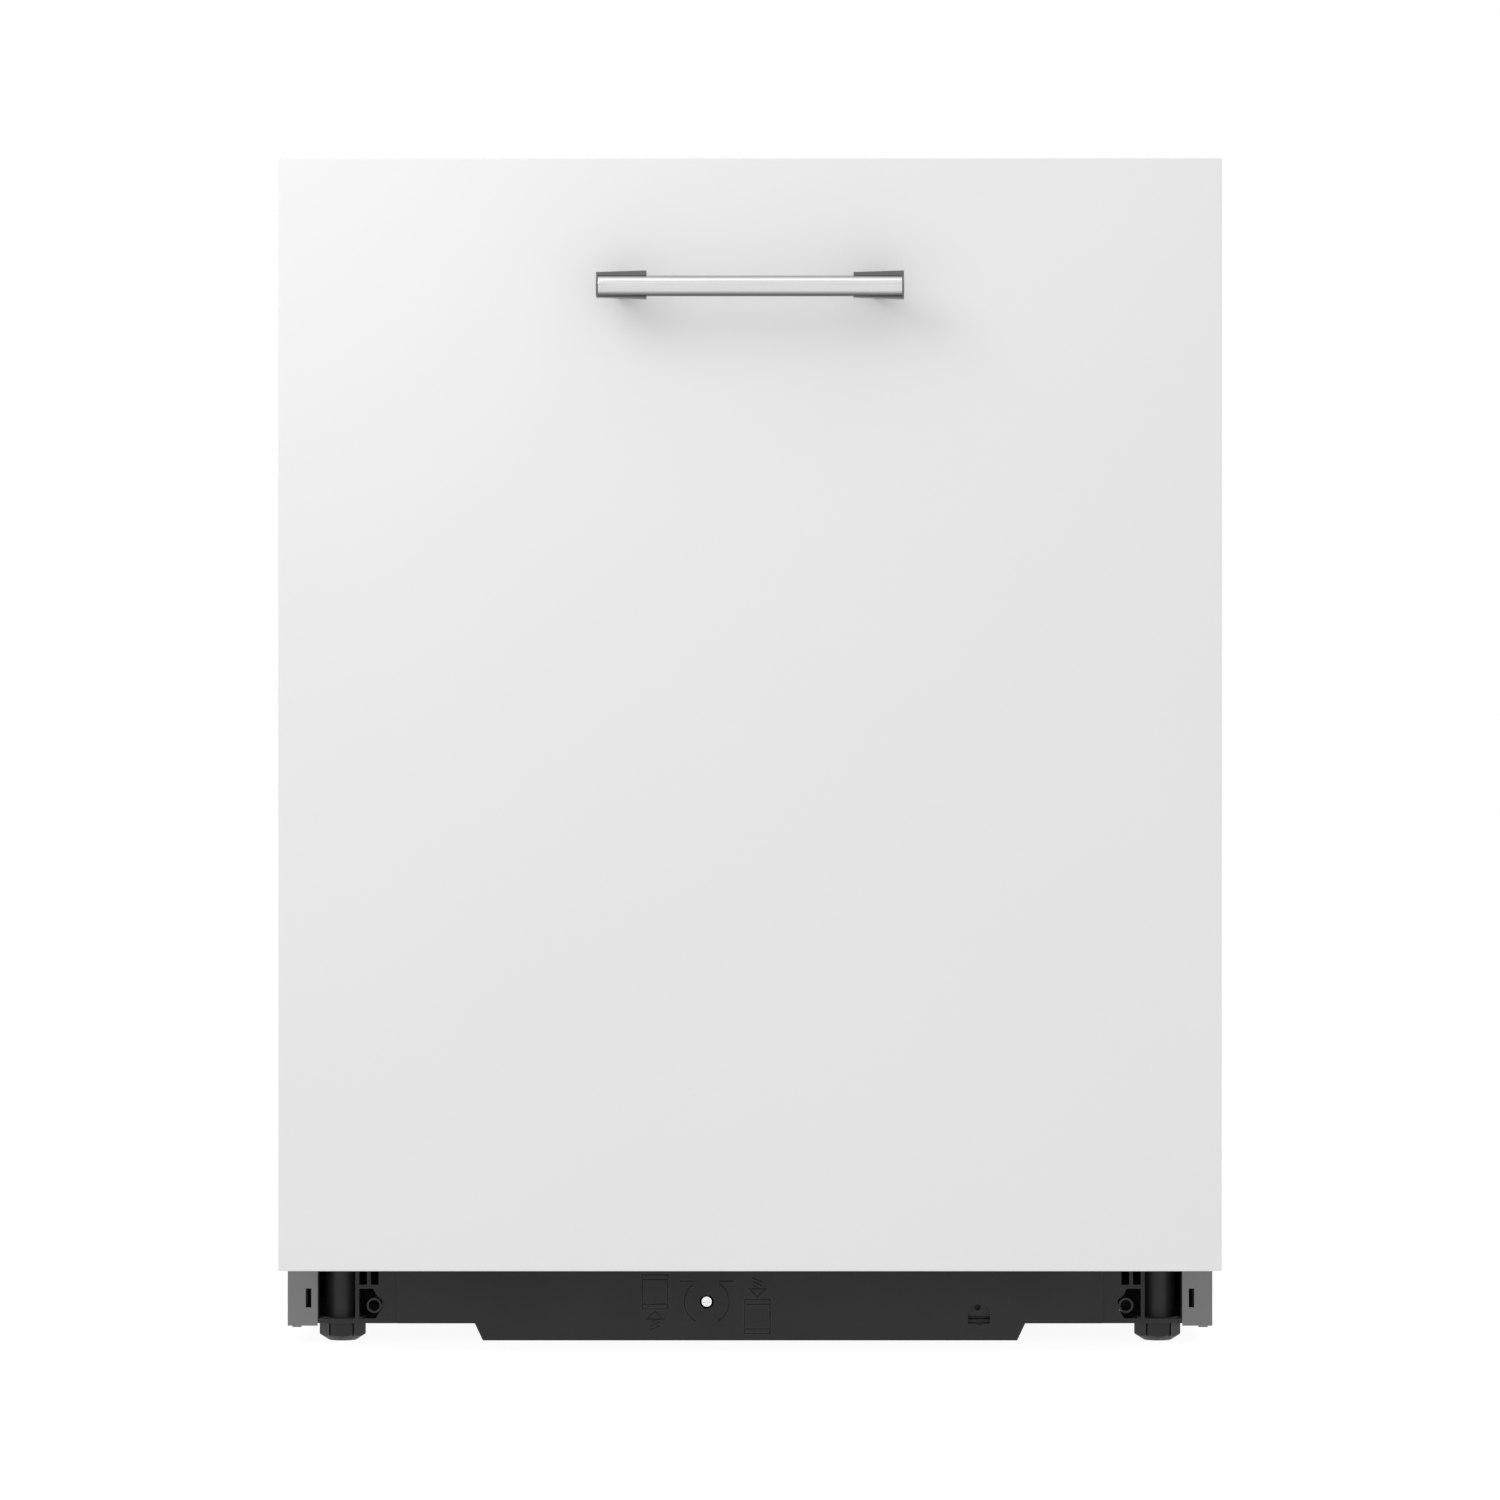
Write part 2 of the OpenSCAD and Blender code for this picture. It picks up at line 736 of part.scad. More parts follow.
module front_foot(side) {
    color([0.16, 0.16, 0.16]) translate([side * foot_x, foot_y, 0]) {
        difference() {
            intersection() {
                cylinder(d = foot_dia, h = knob_h, $fn = 6);
                cylinder(r1 = foot_dia / 2 - 6.5, r2 = foot_dia / 2 + 12, h = knob_h);
            }
            for (k = [0 : 5]) rotate([0, 0, 60 * k]) {
                translate([foot_dia / 2 - 1.8, -0.8, -1]) cube([3, 1.6, knob_h + 2]);
            }
        }
        cylinder(r = stem_r, h = 90);
    }
}

module rear_foot() {
    color([0.16, 0.16, 0.16]) {
        rod_z(20, 0, 8, 0, rear_foot_y);
        rod_z(10, 8, 92, 0, rear_foot_y);
    }
}

module rear_foot_adjuster() {
    color([0.85, 0.85, 0.85]) difference() {
        union() {
            rod_y(3, y_kick + 2, 214, adjust_x, adjust_z);
            rod_y(3.3, y_kick - 0.2, y_kick + 2.2, adjust_x, adjust_z);
            rod_y(6, 200, 212, adjust_x, adjust_z);
        }
        // Cross slot in the head
        for (a = [0, 90]) translate([adjust_x, y_kick - 1, adjust_z]) rotate([0, a, 0]) {
            translate([-2.4, 0, -0.6]) cube([4.8, 2.4, 1.2]);
        }
    }
}

// ---------- Door ----------

module front_panel() {
    color([0.95, 0.95, 0.95]) {
        upright_plate(y_panel, y_door) {
            rounded_rect([-panel_w / 2, panel_bottom], [panel_w / 2, panel_top], 1);
        }
    }
}

handle_z = panel_top - handle_drop;
bar_y = y_front + handle_dia / 2;
saddle_len = 31.6;
// The saddles stand a little higher than the bar they hold
saddle_lift = 0.9;
end_cap = 1.2;

module handle_bar() {
    color([0.8, 0.8, 0.8]) {
        rod_x(handle_dia / 2, -handle_len / 2 + end_cap, handle_len / 2 - end_cap, bar_y, handle_z);
    }
}

// Saddle that cups the bar from behind and stands on a post. Both are the same way round.
module handle_saddle(x0) {
    difference() {
        union() {
            translate([x0, 0, 0]) saddle_taper();
            rod_y(6, bar_y + 4, y_panel, x0 + saddle_len / 2, handle_z);
        }
        rod_x(handle_dia / 2, x0 - 1, x0 + saddle_len + 1, bar_y, handle_z);
    }
}

// Plate that closes the bar's end
module handle_end(x0) {
    side_plate(x0, x0 + end_cap) {
        translate([bar_y, handle_z]) circle(handle_dia / 2);
        translate([bar_y, handle_z + saddle_lift - 7.7]) square([handle_dia / 2 + 2, 15.4]);
    }
}

// Tapered saddle body, taller at its right end
module saddle_taper() {
    translate([0, bar_y + handle_dia / 2 + 2, handle_z + saddle_lift]) rotate([90, 0, 0]) {
        linear_extrude(handle_dia / 2 + 3) polygon([
            [0, -7.8], [saddle_len, -8.8], [saddle_len, 8.8], [0, 7.8]
        ]);
    }
}

module handle_brackets() {
    color([0.42, 0.42, 0.42]) {
        handle_saddle(-handle_len / 2);
        handle_saddle(handle_len / 2 - saddle_len);
        handle_end(-handle_len / 2);
        handle_end(handle_len / 2 - end_cap);
    }
}

module door_outer_sheet() {
    color([0.62, 0.63, 0.64]) {
        block([-door_x, y_door, door_low], [door_x, y_door + sheet, door_high]);
        block([-apron_x, y_door, apron_z], [apron_x, y_door + sheet, door_low]);
        both_sides() block([door_x - sheet, y_door + sheet, door_low], [door_x, y_liner - 8, door_high]);
        block([-apron_x, y_door + sheet, apron_z], [apron_x, y_liner - 8, apron_z + sheet]);
    }
}

dish_x = 245;
dish_low = 152;
dish_high = door_high - 22;
dish_depth = 8;
dispenser_lo = [-72, 362];
dispenser_hi = [72, 516];

module door_inner_liner() {
    color([0.76, 0.77, 0.78]) difference() {
        union() {
            difference() {
                union() {
                    block([-door_x + 2, y_liner - sheet, door_low], [door_x - 2, y_liner, door_high]);
                    block([-apron_x, y_liner - sheet, apron_z], [apron_x, y_liner, door_low]);
                }
                block([-dish_x, y_liner - 2, dish_low], [dish_x, y_liner + 1, dish_high]);
            }
            difference() {
                block([-dish_x - sheet, y_liner - dish_depth - sheet, dish_low - sheet],
                      [dish_x + sheet, y_liner - sheet, dish_high + sheet]);
                block([-dish_x, y_liner - dish_depth, dish_low], [dish_x, y_liner + 1, dish_high]);
            }
            both_sides() {
                block([door_x - 3, y_liner - 7, door_low], [door_x - 2, y_liner - sheet, door_high]);
            }
            block([-apron_x, y_liner - 7, apron_z], [apron_x, y_liner - sheet, apron_z + sheet]);
        }
        block([dispenser_lo[0] + 3, y_liner - 20, dispenser_lo[1] + 3],
              [dispenser_hi[0] - 3, y_liner, dispenser_hi[1] - 3]);
    }
}

housing_low = door_high + 0.2;
window_lo = [-212, y_door + 12];
window_hi = [-92, y_door + 36];

module control_housing() {
    color([0.1, 0.1, 0.11]) difference() {
        block([-door_x, y_door + 0.2, housing_low], [door_x, y_liner - 0.2, body_h]);
        block([-door_x + 3, y_door + 3, housing_low - 1], [door_x - 3, y_liner - 3, body_h - 3]);
        // Gap round the lock, open to the tub
        block([-lock_x - 0.4, y_door + 3, housing_low - 1], [lock_x + 0.4, y_liner, body_h - 3]);
        for (x = button_x) {
            block([x - 8.3, button_y - 5.3, body_h - 4], [x + 8.3, button_y + 5.3, body_h + 1]);
        }
        block([window_lo[0], window_lo[1], body_h - 1.5], [window_hi[0], window_hi[1], body_h + 1]);
    }
}

module display_window() {
    color([0.05, 0.06, 0.08]) {
        block([window_lo[0] + 0.2, window_lo[1] + 0.2, body_h - 1.4],
              [window_hi[0] - 0.2, window_hi[1] - 0.2, body_h]);
    }
}

module control_board() {
    color([0.1, 0.35, 0.2]) {
        block([-220, y_door + 6, body_h - 14], [-50, y_liner - 6, body_h - 12.4]);
        block([60, y_door + 6, body_h - 14], [240, y_liner - 6, body_h - 12.4]);
    }
}

module push_button(x) {
    color([0.75, 0.76, 0.77]) {
        block([x - 8, button_y - 5, body_h - 6], [x + 8, button_y + 5, body_h + 1]);
        block([x - 9.5, button_y - 6.5, body_h - 8], [x + 9.5, button_y + 6.5, body_h - 6]);
    }
}

lock_y1 = y_liner - 1.2;
pawl_y = y_liner - 28;
pawl_z = strike_z + 5.6;

module door_lock() {
    color([0.15, 0.15, 0.16]) difference() {
        block([-lock_x, lock_y1 - 36, housing_low + 0.1], [lock_x, lock_y1, body_h - 3.2]);
        block([-lock_x + 5, lock_y1 - 33, housing_low + 1], [lock_x - 5, lock_y1 + 1, body_h - 4.2]);
        rod_x(1.5 + running, -lock_x - 1, lock_x + 1, pawl_y, pawl_z);
    }
}

module latch_pawl() {
    color([0.7, 0.7, 0.7]) {
        rod_x(1.5, -lock_x + 1, lock_x - 1, pawl_y, pawl_z);
        rod_x(2.6, -4, 4, pawl_y, pawl_z);
        block([-4, pawl_y, pawl_z - 1.4], [4, pawl_y + 21, pawl_z + 1.2]);
        block([-4, pawl_y + 17, pawl_z - 3], [4, pawl_y + 21, pawl_z - 1.4]);
    }
}

dish_y = y_liner - dish_depth;
cup_lo = [-58, 446];
cup_hi = [2, 504];
cap_x = 38;
cap_z = 470;

module dispenser_body() {
    color([0.8, 0.81, 0.82]) difference() {
        union() {
            block([dispenser_lo[0] + 3.2, dish_y - 16, dispenser_lo[1] + 3.2],
                  [dispenser_hi[0] - 3.2, dish_y, dispenser_hi[1] - 3.2]);
            block([dispenser_lo[0], dish_y, dispenser_lo[1]],
                  [dispenser_hi[0], dish_y + 1.4, dispenser_hi[1]]);
        }
        block([cup_lo[0], dish_y - 14, cup_lo[1]], [cup_hi[0], dish_y + 3, cup_hi[1]]);
        rod_y(16, dish_y - 12, dish_y + 3, cap_x, cap_z);
    }
}

lid_y = dish_y + 1.7;

module dispenser_lid() {
    color([0.7, 0.72, 0.75]) {
        block([cup_lo[0] - 4, lid_y, cup_lo[1] - 4], [cup_hi[0] + 4, lid_y + 3, cup_hi[1] + 4]);
        block([cup_lo[0] + 10, lid_y + 3, cup_hi[1] - 12], [cup_hi[0] - 10, lid_y + 4.6, cup_hi[1] - 6]);
    }
}

module rinse_aid_cap() {
    color([0.3, 0.35, 0.4]) {
        rod_y(15.7, dish_y - 6, lid_y, cap_x, cap_z);
        rod_y(18, lid_y, lid_y + 3, cap_x, cap_z);
        block([cap_x - 14, lid_y + 3, cap_z - 2], [cap_x + 14, lid_y + 5, cap_z + 2]);
    }
}

// ---------- Racks ----------

// Basket of straight wires: long wires on cross wires, uprights on all four sides, two rims
module wire_basket(hw, y0, y1, zb, rim, count) {
    z_long = zb + 2 * wire_r;
    mid = (zb + rim) / 2;
    cross = [for (k = [0 : 6]) y0 + 12 + k * (y1 - y0 - 24) / 6];
    long = [for (k = [-count : count]) k * wire_step];
    for (y = cross) {
        rod_x(wire_r, -hw, hw, y, zb);
        for (s = [-1, 1]) rod_z(wire_r, zb + wire_r, rim - rim_r, s * (hw - wire_r), y);
    }
    for (x = long) {
        rod_y(wire_r, y0, y1, x, z_long);
        for (y = [y0 + wire_r, y1 - wire_r]) rod_z(wire_r, z_long + wire_r, rim - rim_r, x, y);
    }
    // Rim, butted at the corners
    for (y = [y0 + wire_r, y1 - wire_r]) rod_x(rim_r, -hw - 1, hw + 1, y, rim);
    for (s = [-1, 1]) rod_y(rim_r, y0 + wire_r + rim_r, y1 - wire_r - rim_r, s * (hw - wire_r), rim);
    // Middle belt inside the uprights
    for (y = [y0 + 3 * wire_r, y1 - 3 * wire_r]) {
        rod_x(wire_r, -hw + 8 * wire_r, hw - 8 * wire_r, y, mid);
    }
    for (s = [-1, 1]) rod_y(wire_r, y0 + 8 * wire_r, y1 - 8 * wire_r, s * (hw - 3 * wire_r), mid);
}

module lower_rack() {
    color([0.62, 0.63, 0.66]) {
        wire_basket(lower_hw, rack_front, rack_back, lower_z, lower_rim, 8);
        // Fixed plate tines on the left
        for (y = [20 : 40 : 220], k = [-7 : -1]) {
            rod_z(1.75, lower_z + 3 * wire_r, lower_z + 92, k * wire_step, y);
        }
        // Wheel carriers with their axle pins
        both_sides() for (y = wheel_y) {
            block([lower_hw - 5, y - 9, wheel_z - 7], [lower_hw, y + 9, lower_z - wire_r]);
            block([lower_hw - 5, y - 20, lower_z - wire_r - 4], [lower_hw, y + 20, lower_z - wire_r]);
            rod_x(3, lower_hw, lower_hw + 12.5, y, wheel_z);
        }
        // Ears that hold the fold-down row
        both_sides() difference() {
            block([lower_hw - 19, fold_y - 5, fold_z - 2], [lower_hw - 16, fold_y + 5, fold_z + 5]);
            rod_x(wire_r + running, lower_hw - 20, lower_hw - 15, fold_y, fold_z);
        }
        // Grip on the front rim
        block([-62, rack_front - 4, lower_rim + rim_r], [62, rack_front + 10, lower_rim + rim_r + 5]);
    }
}

module fold_down_tines() {
    color([0.5, 0.52, 0.56]) {
        rod_x(wire_r, -lower_hw + 12, lower_hw - 12, fold_y, fold_z);
        for (k = [-7 : 7]) rod_z(1.75, fold_z + wire_r, fold_z + 84, k * wire_step, fold_y);
    }
}

module rack_wheels(y) {
    color([0.75, 0.76, 0.78]) both_sides() difference() {
        union() {
            rod_x(wheel_r, lower_hw + 1, lower_hw + 11, y, wheel_z);
            rod_x(8, lower_hw + 0.4, lower_hw + 12, y, wheel_z);
        }
        rod_x(3 + running, lower_hw, lower_hw + 13, y, wheel_z);
        for (a = [0 : 60 : 300]) {
            rod_x(2, lower_hw, lower_hw + 13, y + 12 * cos(a), wheel_z + 12 * sin(a));
        }
    }
}

module upper_rack() {
    color([0.62, 0.63, 0.66]) {
        wire_basket(upper_hw, rack_front + 2, rack_back, upper_z, upper_rim, 7);
        // Cup tines in two rows from front to back
        for (x = [-90, 60], y = [-120 : 35 : 195]) {
            rod_z(1.75, upper_z + 3 * wire_r, upper_z + 62, x, y);
        }
        // Runners in the telescopic rails
        both_sides() {
            upright_plate(rail_y0 + 2, rail_y1) rack_runner_section();
            for (y = [-120, 170]) {
                block([upper_hw, y - 15, rail_z - 14], [tub_x - 24, y + 15, rail_z + 14]);
            }
        }
        // Ears that hold the cup shelf
        for (y = [-146, 192]) difference() {
            block([shelf_x - 5, y, shelf_z - 5], [upper_hw - 4, y + 3, shelf_z + 5]);
            rod_y(3 + running, y - 1, y + 4, shelf_x, shelf_z);
        }
        // Water tube to the spray arm, and the arm's post
        rod_y(8, arm_y - 10, 238.7, 0, port_z);
        rod_z(hub_r - 3, upper_arm_z - 9, upper_arm_z + 10, 0, arm_y);
        for (y = [60, 200]) block([-10, y - 5, upper_arm_z + 22], [10, y + 5, upper_z - wire_r]);
        block([-62, rack_front - 2, upper_rim + rim_r], [62, rack_front + 12, upper_rim + rim_r + 5]);
    }
}

module cup_shelf() {
    color([0.45, 0.47, 0.5]) {
        rod_y(3, -145, 194, shelf_x, shelf_z);
        for (y = [-135 : 40 : 185]) {
            block([shelf_x - 1.5, y - 2, shelf_z + 3], [shelf_x + 1.5, y + 2, shelf_z + 80]);
        }
        for (z = [25, 50, 77]) {
            block([shelf_x - 1.5, -139, shelf_z + z], [shelf_x + 1.5, -137, shelf_z + z + 3]);
        }
        for (z = [25, 50, 77], y = [-133 : 40 : 147]) {
            block([shelf_x - 1.5, y, shelf_z + z], [shelf_x + 1.5, y + 36, shelf_z + z + 3]);
        }
    }
}

tray_hw = 255;

module cutlery_tray() {
    color([0.6, 0.61, 0.64]) {
        for (y = [rack_front, rack_back - 3]) {
            block([-tray_hw, y, tray_z], [tray_hw, y + 3, tray_z + 36]);
        }
        both_sides() {
            block([tray_hw - 3, rack_front + 3, tray_z], [tray_hw, rack_back - 3, tray_z + 36]);
            block([tray_hw, rack_front + 3, tray_z + 6.4], [tray_hw + 18, rack_back - 3, tray_z + 9]);
        }
        // Cross bars under the slats
        for (y = [-120 : 60 : 180]) block([-tray_hw + 3, y, tray_z], [tray_hw - 3, y + 3, tray_z + 3]);
        for (x = [-240 : 20 : 240]) {
            block([x - 1.2, rack_front + 3, tray_z + 3], [x + 1.2, rack_back - 3, tray_z + 10]);
        }
        block([-50, rack_front - 6, tray_z + 30], [50, rack_front, tray_z + 36]);
    }
}

// ---------- Node selection ----------

base_tray();
base_front();
mirror([1, 0, 0]) side_panel();  // side_panel_left
side_panel();  // side_panel_right
rear_panel();
tub_shell();
tub_floor();
front_frame();
tub_gasket();
top_insulation();
top_rails();
worktop_brackets();
latch_strike();
sump();
filter_plate();
filter_cup();
circulation_pump();
drain_pump();
inlet_valve();
drain_spigot();
cord_gland();
softener();
softener_cap();
feed_pipe();
hinge_brackets();
hinge_arms();
door_springs();
fixed_rails();
upper_middle_rails();
front_foot(-1);  // front_foot_left
front_foot(1);  // front_foot_right
rear_foot();
rear_foot_adjuster();
lower_spray_arm();
upper_spray_arm();
top_spray_arm();
front_panel();
handle_bar();
handle_brackets();
door_outer_sheet();
door_inner_liner();
control_housing();
display_window();
control_board();
push_button(button_x[0]);  // button_power
push_button(button_x[1]);  // button_program
push_button(button_x[2]);  // button_option
push_button(button_x[3]);  // button_start
door_lock();
latch_pawl();
dispenser_body();
dispenser_lid();
rinse_aid_cap();
lower_rack();
fold_down_tines();
rack_wheels(wheel_y[0]);  // lower_wheels_front
rack_wheels(wheel_y[1]);  // lower_wheels_rear
upper_rack();
cup_shelf();
cutlery_tray();
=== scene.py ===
# Built-in dishwasher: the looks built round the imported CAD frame. Blender's side is in metres, in the frame's own
# axes. Shapes of new pieces are drawn in millimetres, as the CAD is, and are scaled when the piece is made.
import json
import math

import bmesh
import bpy
from mathutils import Matrix, Vector


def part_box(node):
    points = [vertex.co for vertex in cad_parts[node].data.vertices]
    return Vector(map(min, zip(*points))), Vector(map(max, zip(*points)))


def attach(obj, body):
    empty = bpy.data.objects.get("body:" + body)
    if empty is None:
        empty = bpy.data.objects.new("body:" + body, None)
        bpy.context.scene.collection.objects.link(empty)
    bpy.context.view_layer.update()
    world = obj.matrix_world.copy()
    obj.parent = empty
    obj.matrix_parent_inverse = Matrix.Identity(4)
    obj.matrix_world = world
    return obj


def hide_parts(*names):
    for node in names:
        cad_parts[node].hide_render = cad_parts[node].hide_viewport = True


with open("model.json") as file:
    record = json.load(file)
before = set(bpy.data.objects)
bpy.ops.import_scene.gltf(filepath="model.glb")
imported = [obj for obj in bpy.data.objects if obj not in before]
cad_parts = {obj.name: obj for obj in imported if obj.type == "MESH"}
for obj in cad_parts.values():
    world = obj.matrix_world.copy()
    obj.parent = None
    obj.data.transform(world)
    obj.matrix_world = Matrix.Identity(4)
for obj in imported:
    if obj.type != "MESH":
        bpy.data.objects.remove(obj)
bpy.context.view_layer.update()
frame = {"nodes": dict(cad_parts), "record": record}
NODES = frame["nodes"]
MM = 0.001


def box_mm(node):
    """Lowest and highest corner of a CAD node at rest, in millimetres."""
    low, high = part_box(node)
    return Vector(low) / MM, Vector(high) / MM


# ---------- Camera, light and floor ----------

# The camera looks straight along +Y, as in the photograph. Its lens and sensor are in millimetres.
PANEL_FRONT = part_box("front_panel")[0][1]
CAMERA_DISTANCE = 3.96
EYE_HEIGHT = 0.3827
LENS = 150.5
SENSOR_WIDTH = 36
VIEW_END = 100

# Lights, with their power in watts. The key stands close to the upper left, the top light is broad and high.
KEY_LIGHT = {"place": (-0.62, -0.85, 1.2), "target": (-0.2, -0.27, 0.66), "size": (0.5, 0.5), "power": 3.3}
TOP_LIGHT = {"place": (0, -1.2, 4.0), "target": (0, -0.3, 0.6), "size": (4.0, 1.2), "power": 12}

FLOOR_HALF = 30.0
FLOOR_GREY = (0.1, 0.1, 0.1)
FLOOR_GLOW = 0.93


def make_camera():
    camera = bpy.data.objects.new("camera", bpy.data.cameras.new("camera"))
    bpy.context.scene.collection.objects.link(camera)
    camera.location = (0, PANEL_FRONT - CAMERA_DISTANCE, EYE_HEIGHT)
    camera.rotation_euler = (math.pi / 2, 0, 0)
    camera.data.lens = LENS
    camera.data.sensor_width = SENSOR_WIDTH
    camera.data.clip_end = VIEW_END
    bpy.context.scene.camera = camera


def area_light(name, place, target, size, power):
    data = bpy.data.lights.new(name, "AREA")
    data.shape = "RECTANGLE"
    data.size, data.size_y = size
    data.energy = power
    light = bpy.data.objects.new(name, data)
    light.location = place
    aim = Vector(target) - Vector(place)
    light.rotation_euler = aim.to_track_quat("-Z", "Y").to_euler()
    bpy.context.scene.collection.objects.link(light)


def make_lights():
    world = bpy.data.worlds.new("studio")
    world.use_nodes = True
    background = world.node_tree.nodes["Background"]
    background.inputs["Color"].default_value = (1, 1, 1, 1)
    background.inputs["Strength"].default_value = 1.0
    bpy.context.scene.world = world
    area_light("key", **KEY_LIGHT)
    area_light("top", **TOP_LIGHT)


def floor_paint():
    """White studio floor that glows a little, so that only a faint shadow is left on it."""
    material, _, shader, _ = start_material("floor_paint", Roughness=0.8, Emission_Strength=FLOOR_GLOW)
    shader.inputs["Base Color"].default_value = (*FLOOR_GREY, 1)
    shader.inputs["Emission Color"].default_value = (1, 1, 1, 1)
    return material


def make_floor():
    mesh = bpy.data.meshes.new("floor")
    corners = [(u * FLOOR_HALF, v * FLOOR_HALF, 0) for u, v in ((-1, -1), (1, -1), (1, 1), (-1, 1))]
    mesh.from_pydata(corners, [], [(0, 1, 2, 3)])
    floor = bpy.data.objects.new("floor", mesh)
    bpy.context.scene.collection.objects.link(floor)
    mesh.materials.append(floor_paint())


# ---------- Materials ----------

# Radius of worn edges in metres, and how far brush scratches are drawn out
WORN_EDGE = 0.0009
SCRATCH_STRETCH = 0.012

# Brightness painted round the bar as a painted reflection, from straight down (0) to straight up (1)
BAR_PAINTED_REFLECTION = ((0.0, 0.16), (0.09, 0.26), (0.24, 0.9), (0.5, 0.95), (0.8, 1.0), (0.93, 0.62), (1.0, 0.5))


def start_material(name, metallic=0.0, **sockets):
    """A new material: its node tree, its shader, and the object coordinates that its patterns use."""
    material = bpy.data.materials.new(name)
    material.use_nodes = True
    tree = material.node_tree
    shader = tree.nodes["Principled BSDF"]
    shader.inputs["Metallic"].default_value = metallic
    for socket, value in sockets.items():
        shader.inputs[socket.replace("_", " ")].default_value = value
    coordinates = tree.nodes.new("ShaderNodeTexCoord").outputs["Object"]
    return material, tree, shader, coordinates


def noise(tree, vector, scale, detail=2.0, stretch=(1, 1, 1)):
    """Noise between 0 and 1, drawn out along the axes that have a small stretch."""
    mapping = tree.nodes.new("ShaderNodeMapping")
    mapping.inputs["Scale"].default_value = stretch
    tree.links.new(vector, mapping.inputs["Vector"])
    texture = tree.nodes.new("ShaderNodeTexNoise")
    texture.inputs["Scale"].default_value = scale
    texture.inputs["Detail"].default_value = detail
    tree.links.new(mapping.outputs["Vector"], texture.inputs["Vector"])
    return texture.outputs["Fac"]


def spread_value(tree, factor, low, high, start=0.3, stop=0.7):
    """Maps a factor that runs from start to stop onto low to high."""
    ranged = tree.nodes.new("ShaderNodeMapRange")
    ranged.inputs["From Min"].default_value = start
    ranged.inputs["From Max"].default_value = stop
    ranged.inputs["To Min"].default_value = low
    ranged.inputs["To Max"].default_value = high
    tree.links.new(factor, ranged.inputs["Value"])
    return ranged.outputs["Result"]


def tint(tree, factor, first, second, blend="MIX"):
    """Goes from the first colour to the second. A colour or factor is a plain value or another node's output."""
    mix = tree.nodes.new("ShaderNodeMix")
    mix.data_type = "RGBA"
    mix.blend_type = blend
    for name, source in (("Factor", factor), ("A", first), ("B", second)):
        if isinstance(source, bpy.types.NodeSocket):
            tree.links.new(source, mix.inputs[name])
        else:
            mix.inputs[name].default_value = (*source, 1) if isinstance(source, tuple) else source
    return mix.outputs["Result"]


def bump(tree, height, distance, strength=1.0):
    node = tree.nodes.new("ShaderNodeBump")
    node.inputs["Distance"].default_value = distance
    node.inputs["Strength"].default_value = strength
    tree.links.new(height, node.inputs["Height"])
    return node.outputs["Normal"]


def edge_mask(tree, radius):
    """1 on edges that stand out, found by comparing the surface with a rounded copy of itself."""
    rounded = tree.nodes.new("ShaderNodeBevel")
    rounded.inputs["Radius"].default_value = radius
    rounded.samples = 3
    plain = tree.nodes.new("ShaderNodeNewGeometry")
    dot = tree.nodes.new("ShaderNodeVectorMath")
    dot.operation = "DOT_PRODUCT"
    tree.links.new(rounded.outputs["Normal"], dot.inputs[0])
    tree.links.new(plain.outputs["Normal"], dot.inputs[1])
    return spread_value(tree, dot.outputs["Value"], 1.0, 0.0, 0.75, 0.98)


def shades(colour, spread):
    """A darker and a lighter shade of a colour."""
    return tuple(c * (1 - spread) for c in colour), tuple(min(c * (1 + spread), 1) for c in colour)


def matt(name, colour, roughness, grain=900.0, spread=0.05, relief=0.00004, wear=None, coat=0.0, shine=0.5):
    """Moulded or painted surface: fine grain in the relief, soft clouds in the colour, worn edges."""
    material, tree, shader, place = start_material(name, Coat_Weight=coat, Specular_IOR_Level=shine)
    clouds = noise(tree, place, 7.0, 4.0)
    colour_out = tint(tree, spread_value(tree, clouds, 0, 1), *shades(colour, spread))
    if wear:
        patchy = tree.nodes.new("ShaderNodeMath")
        patchy.operation = "MULTIPLY"
        tree.links.new(edge_mask(tree, WORN_EDGE), patchy.inputs[0])
        tree.links.new(spread_value(tree, noise(tree, place, 60.0, 3.0), 0.1, 0.9), patchy.inputs[1])
        colour_out = tint(tree, patchy.outputs["Value"], colour_out, wear)
    tree.links.new(colour_out, shader.inputs["Base Color"])
    rough = spread_value(tree, noise(tree, place, 25.0, 5.0), roughness - 0.05, roughness + 0.06)
    tree.links.new(rough, shader.inputs["Roughness"])
    tree.links.new(bump(tree, noise(tree, place, grain, 2.0), relief), shader.inputs["Normal"])
    return material


def paint_reflection_bands(tree, colour):
    """Paints shade into the top and the underside of a polished bar: a painted reflection of its mount and the floor.
    """
    place = tree.nodes.new("ShaderNodeTexCoord")
    split = tree.nodes.new("ShaderNodeSeparateXYZ")
    tree.links.new(place.outputs["Normal"], split.inputs["Vector"])
    ramp = tree.nodes.new("ShaderNodeValToRGB")
    tree.links.new(spread_value(tree, split.outputs["Z"], 0, 1, -1, 1), ramp.inputs["Fac"])
    stops = ramp.color_ramp.elements
    for position, _ in BAR_PAINTED_REFLECTION[1:-1]:
        stops.new(position)
    for stop, (position, value) in zip(stops, BAR_PAINTED_REFLECTION):
        stop.position = position
        stop.color = (value, value, value, 1)
    return tint(tree, 1.0, colour, ramp.outputs["Color"], "MULTIPLY")


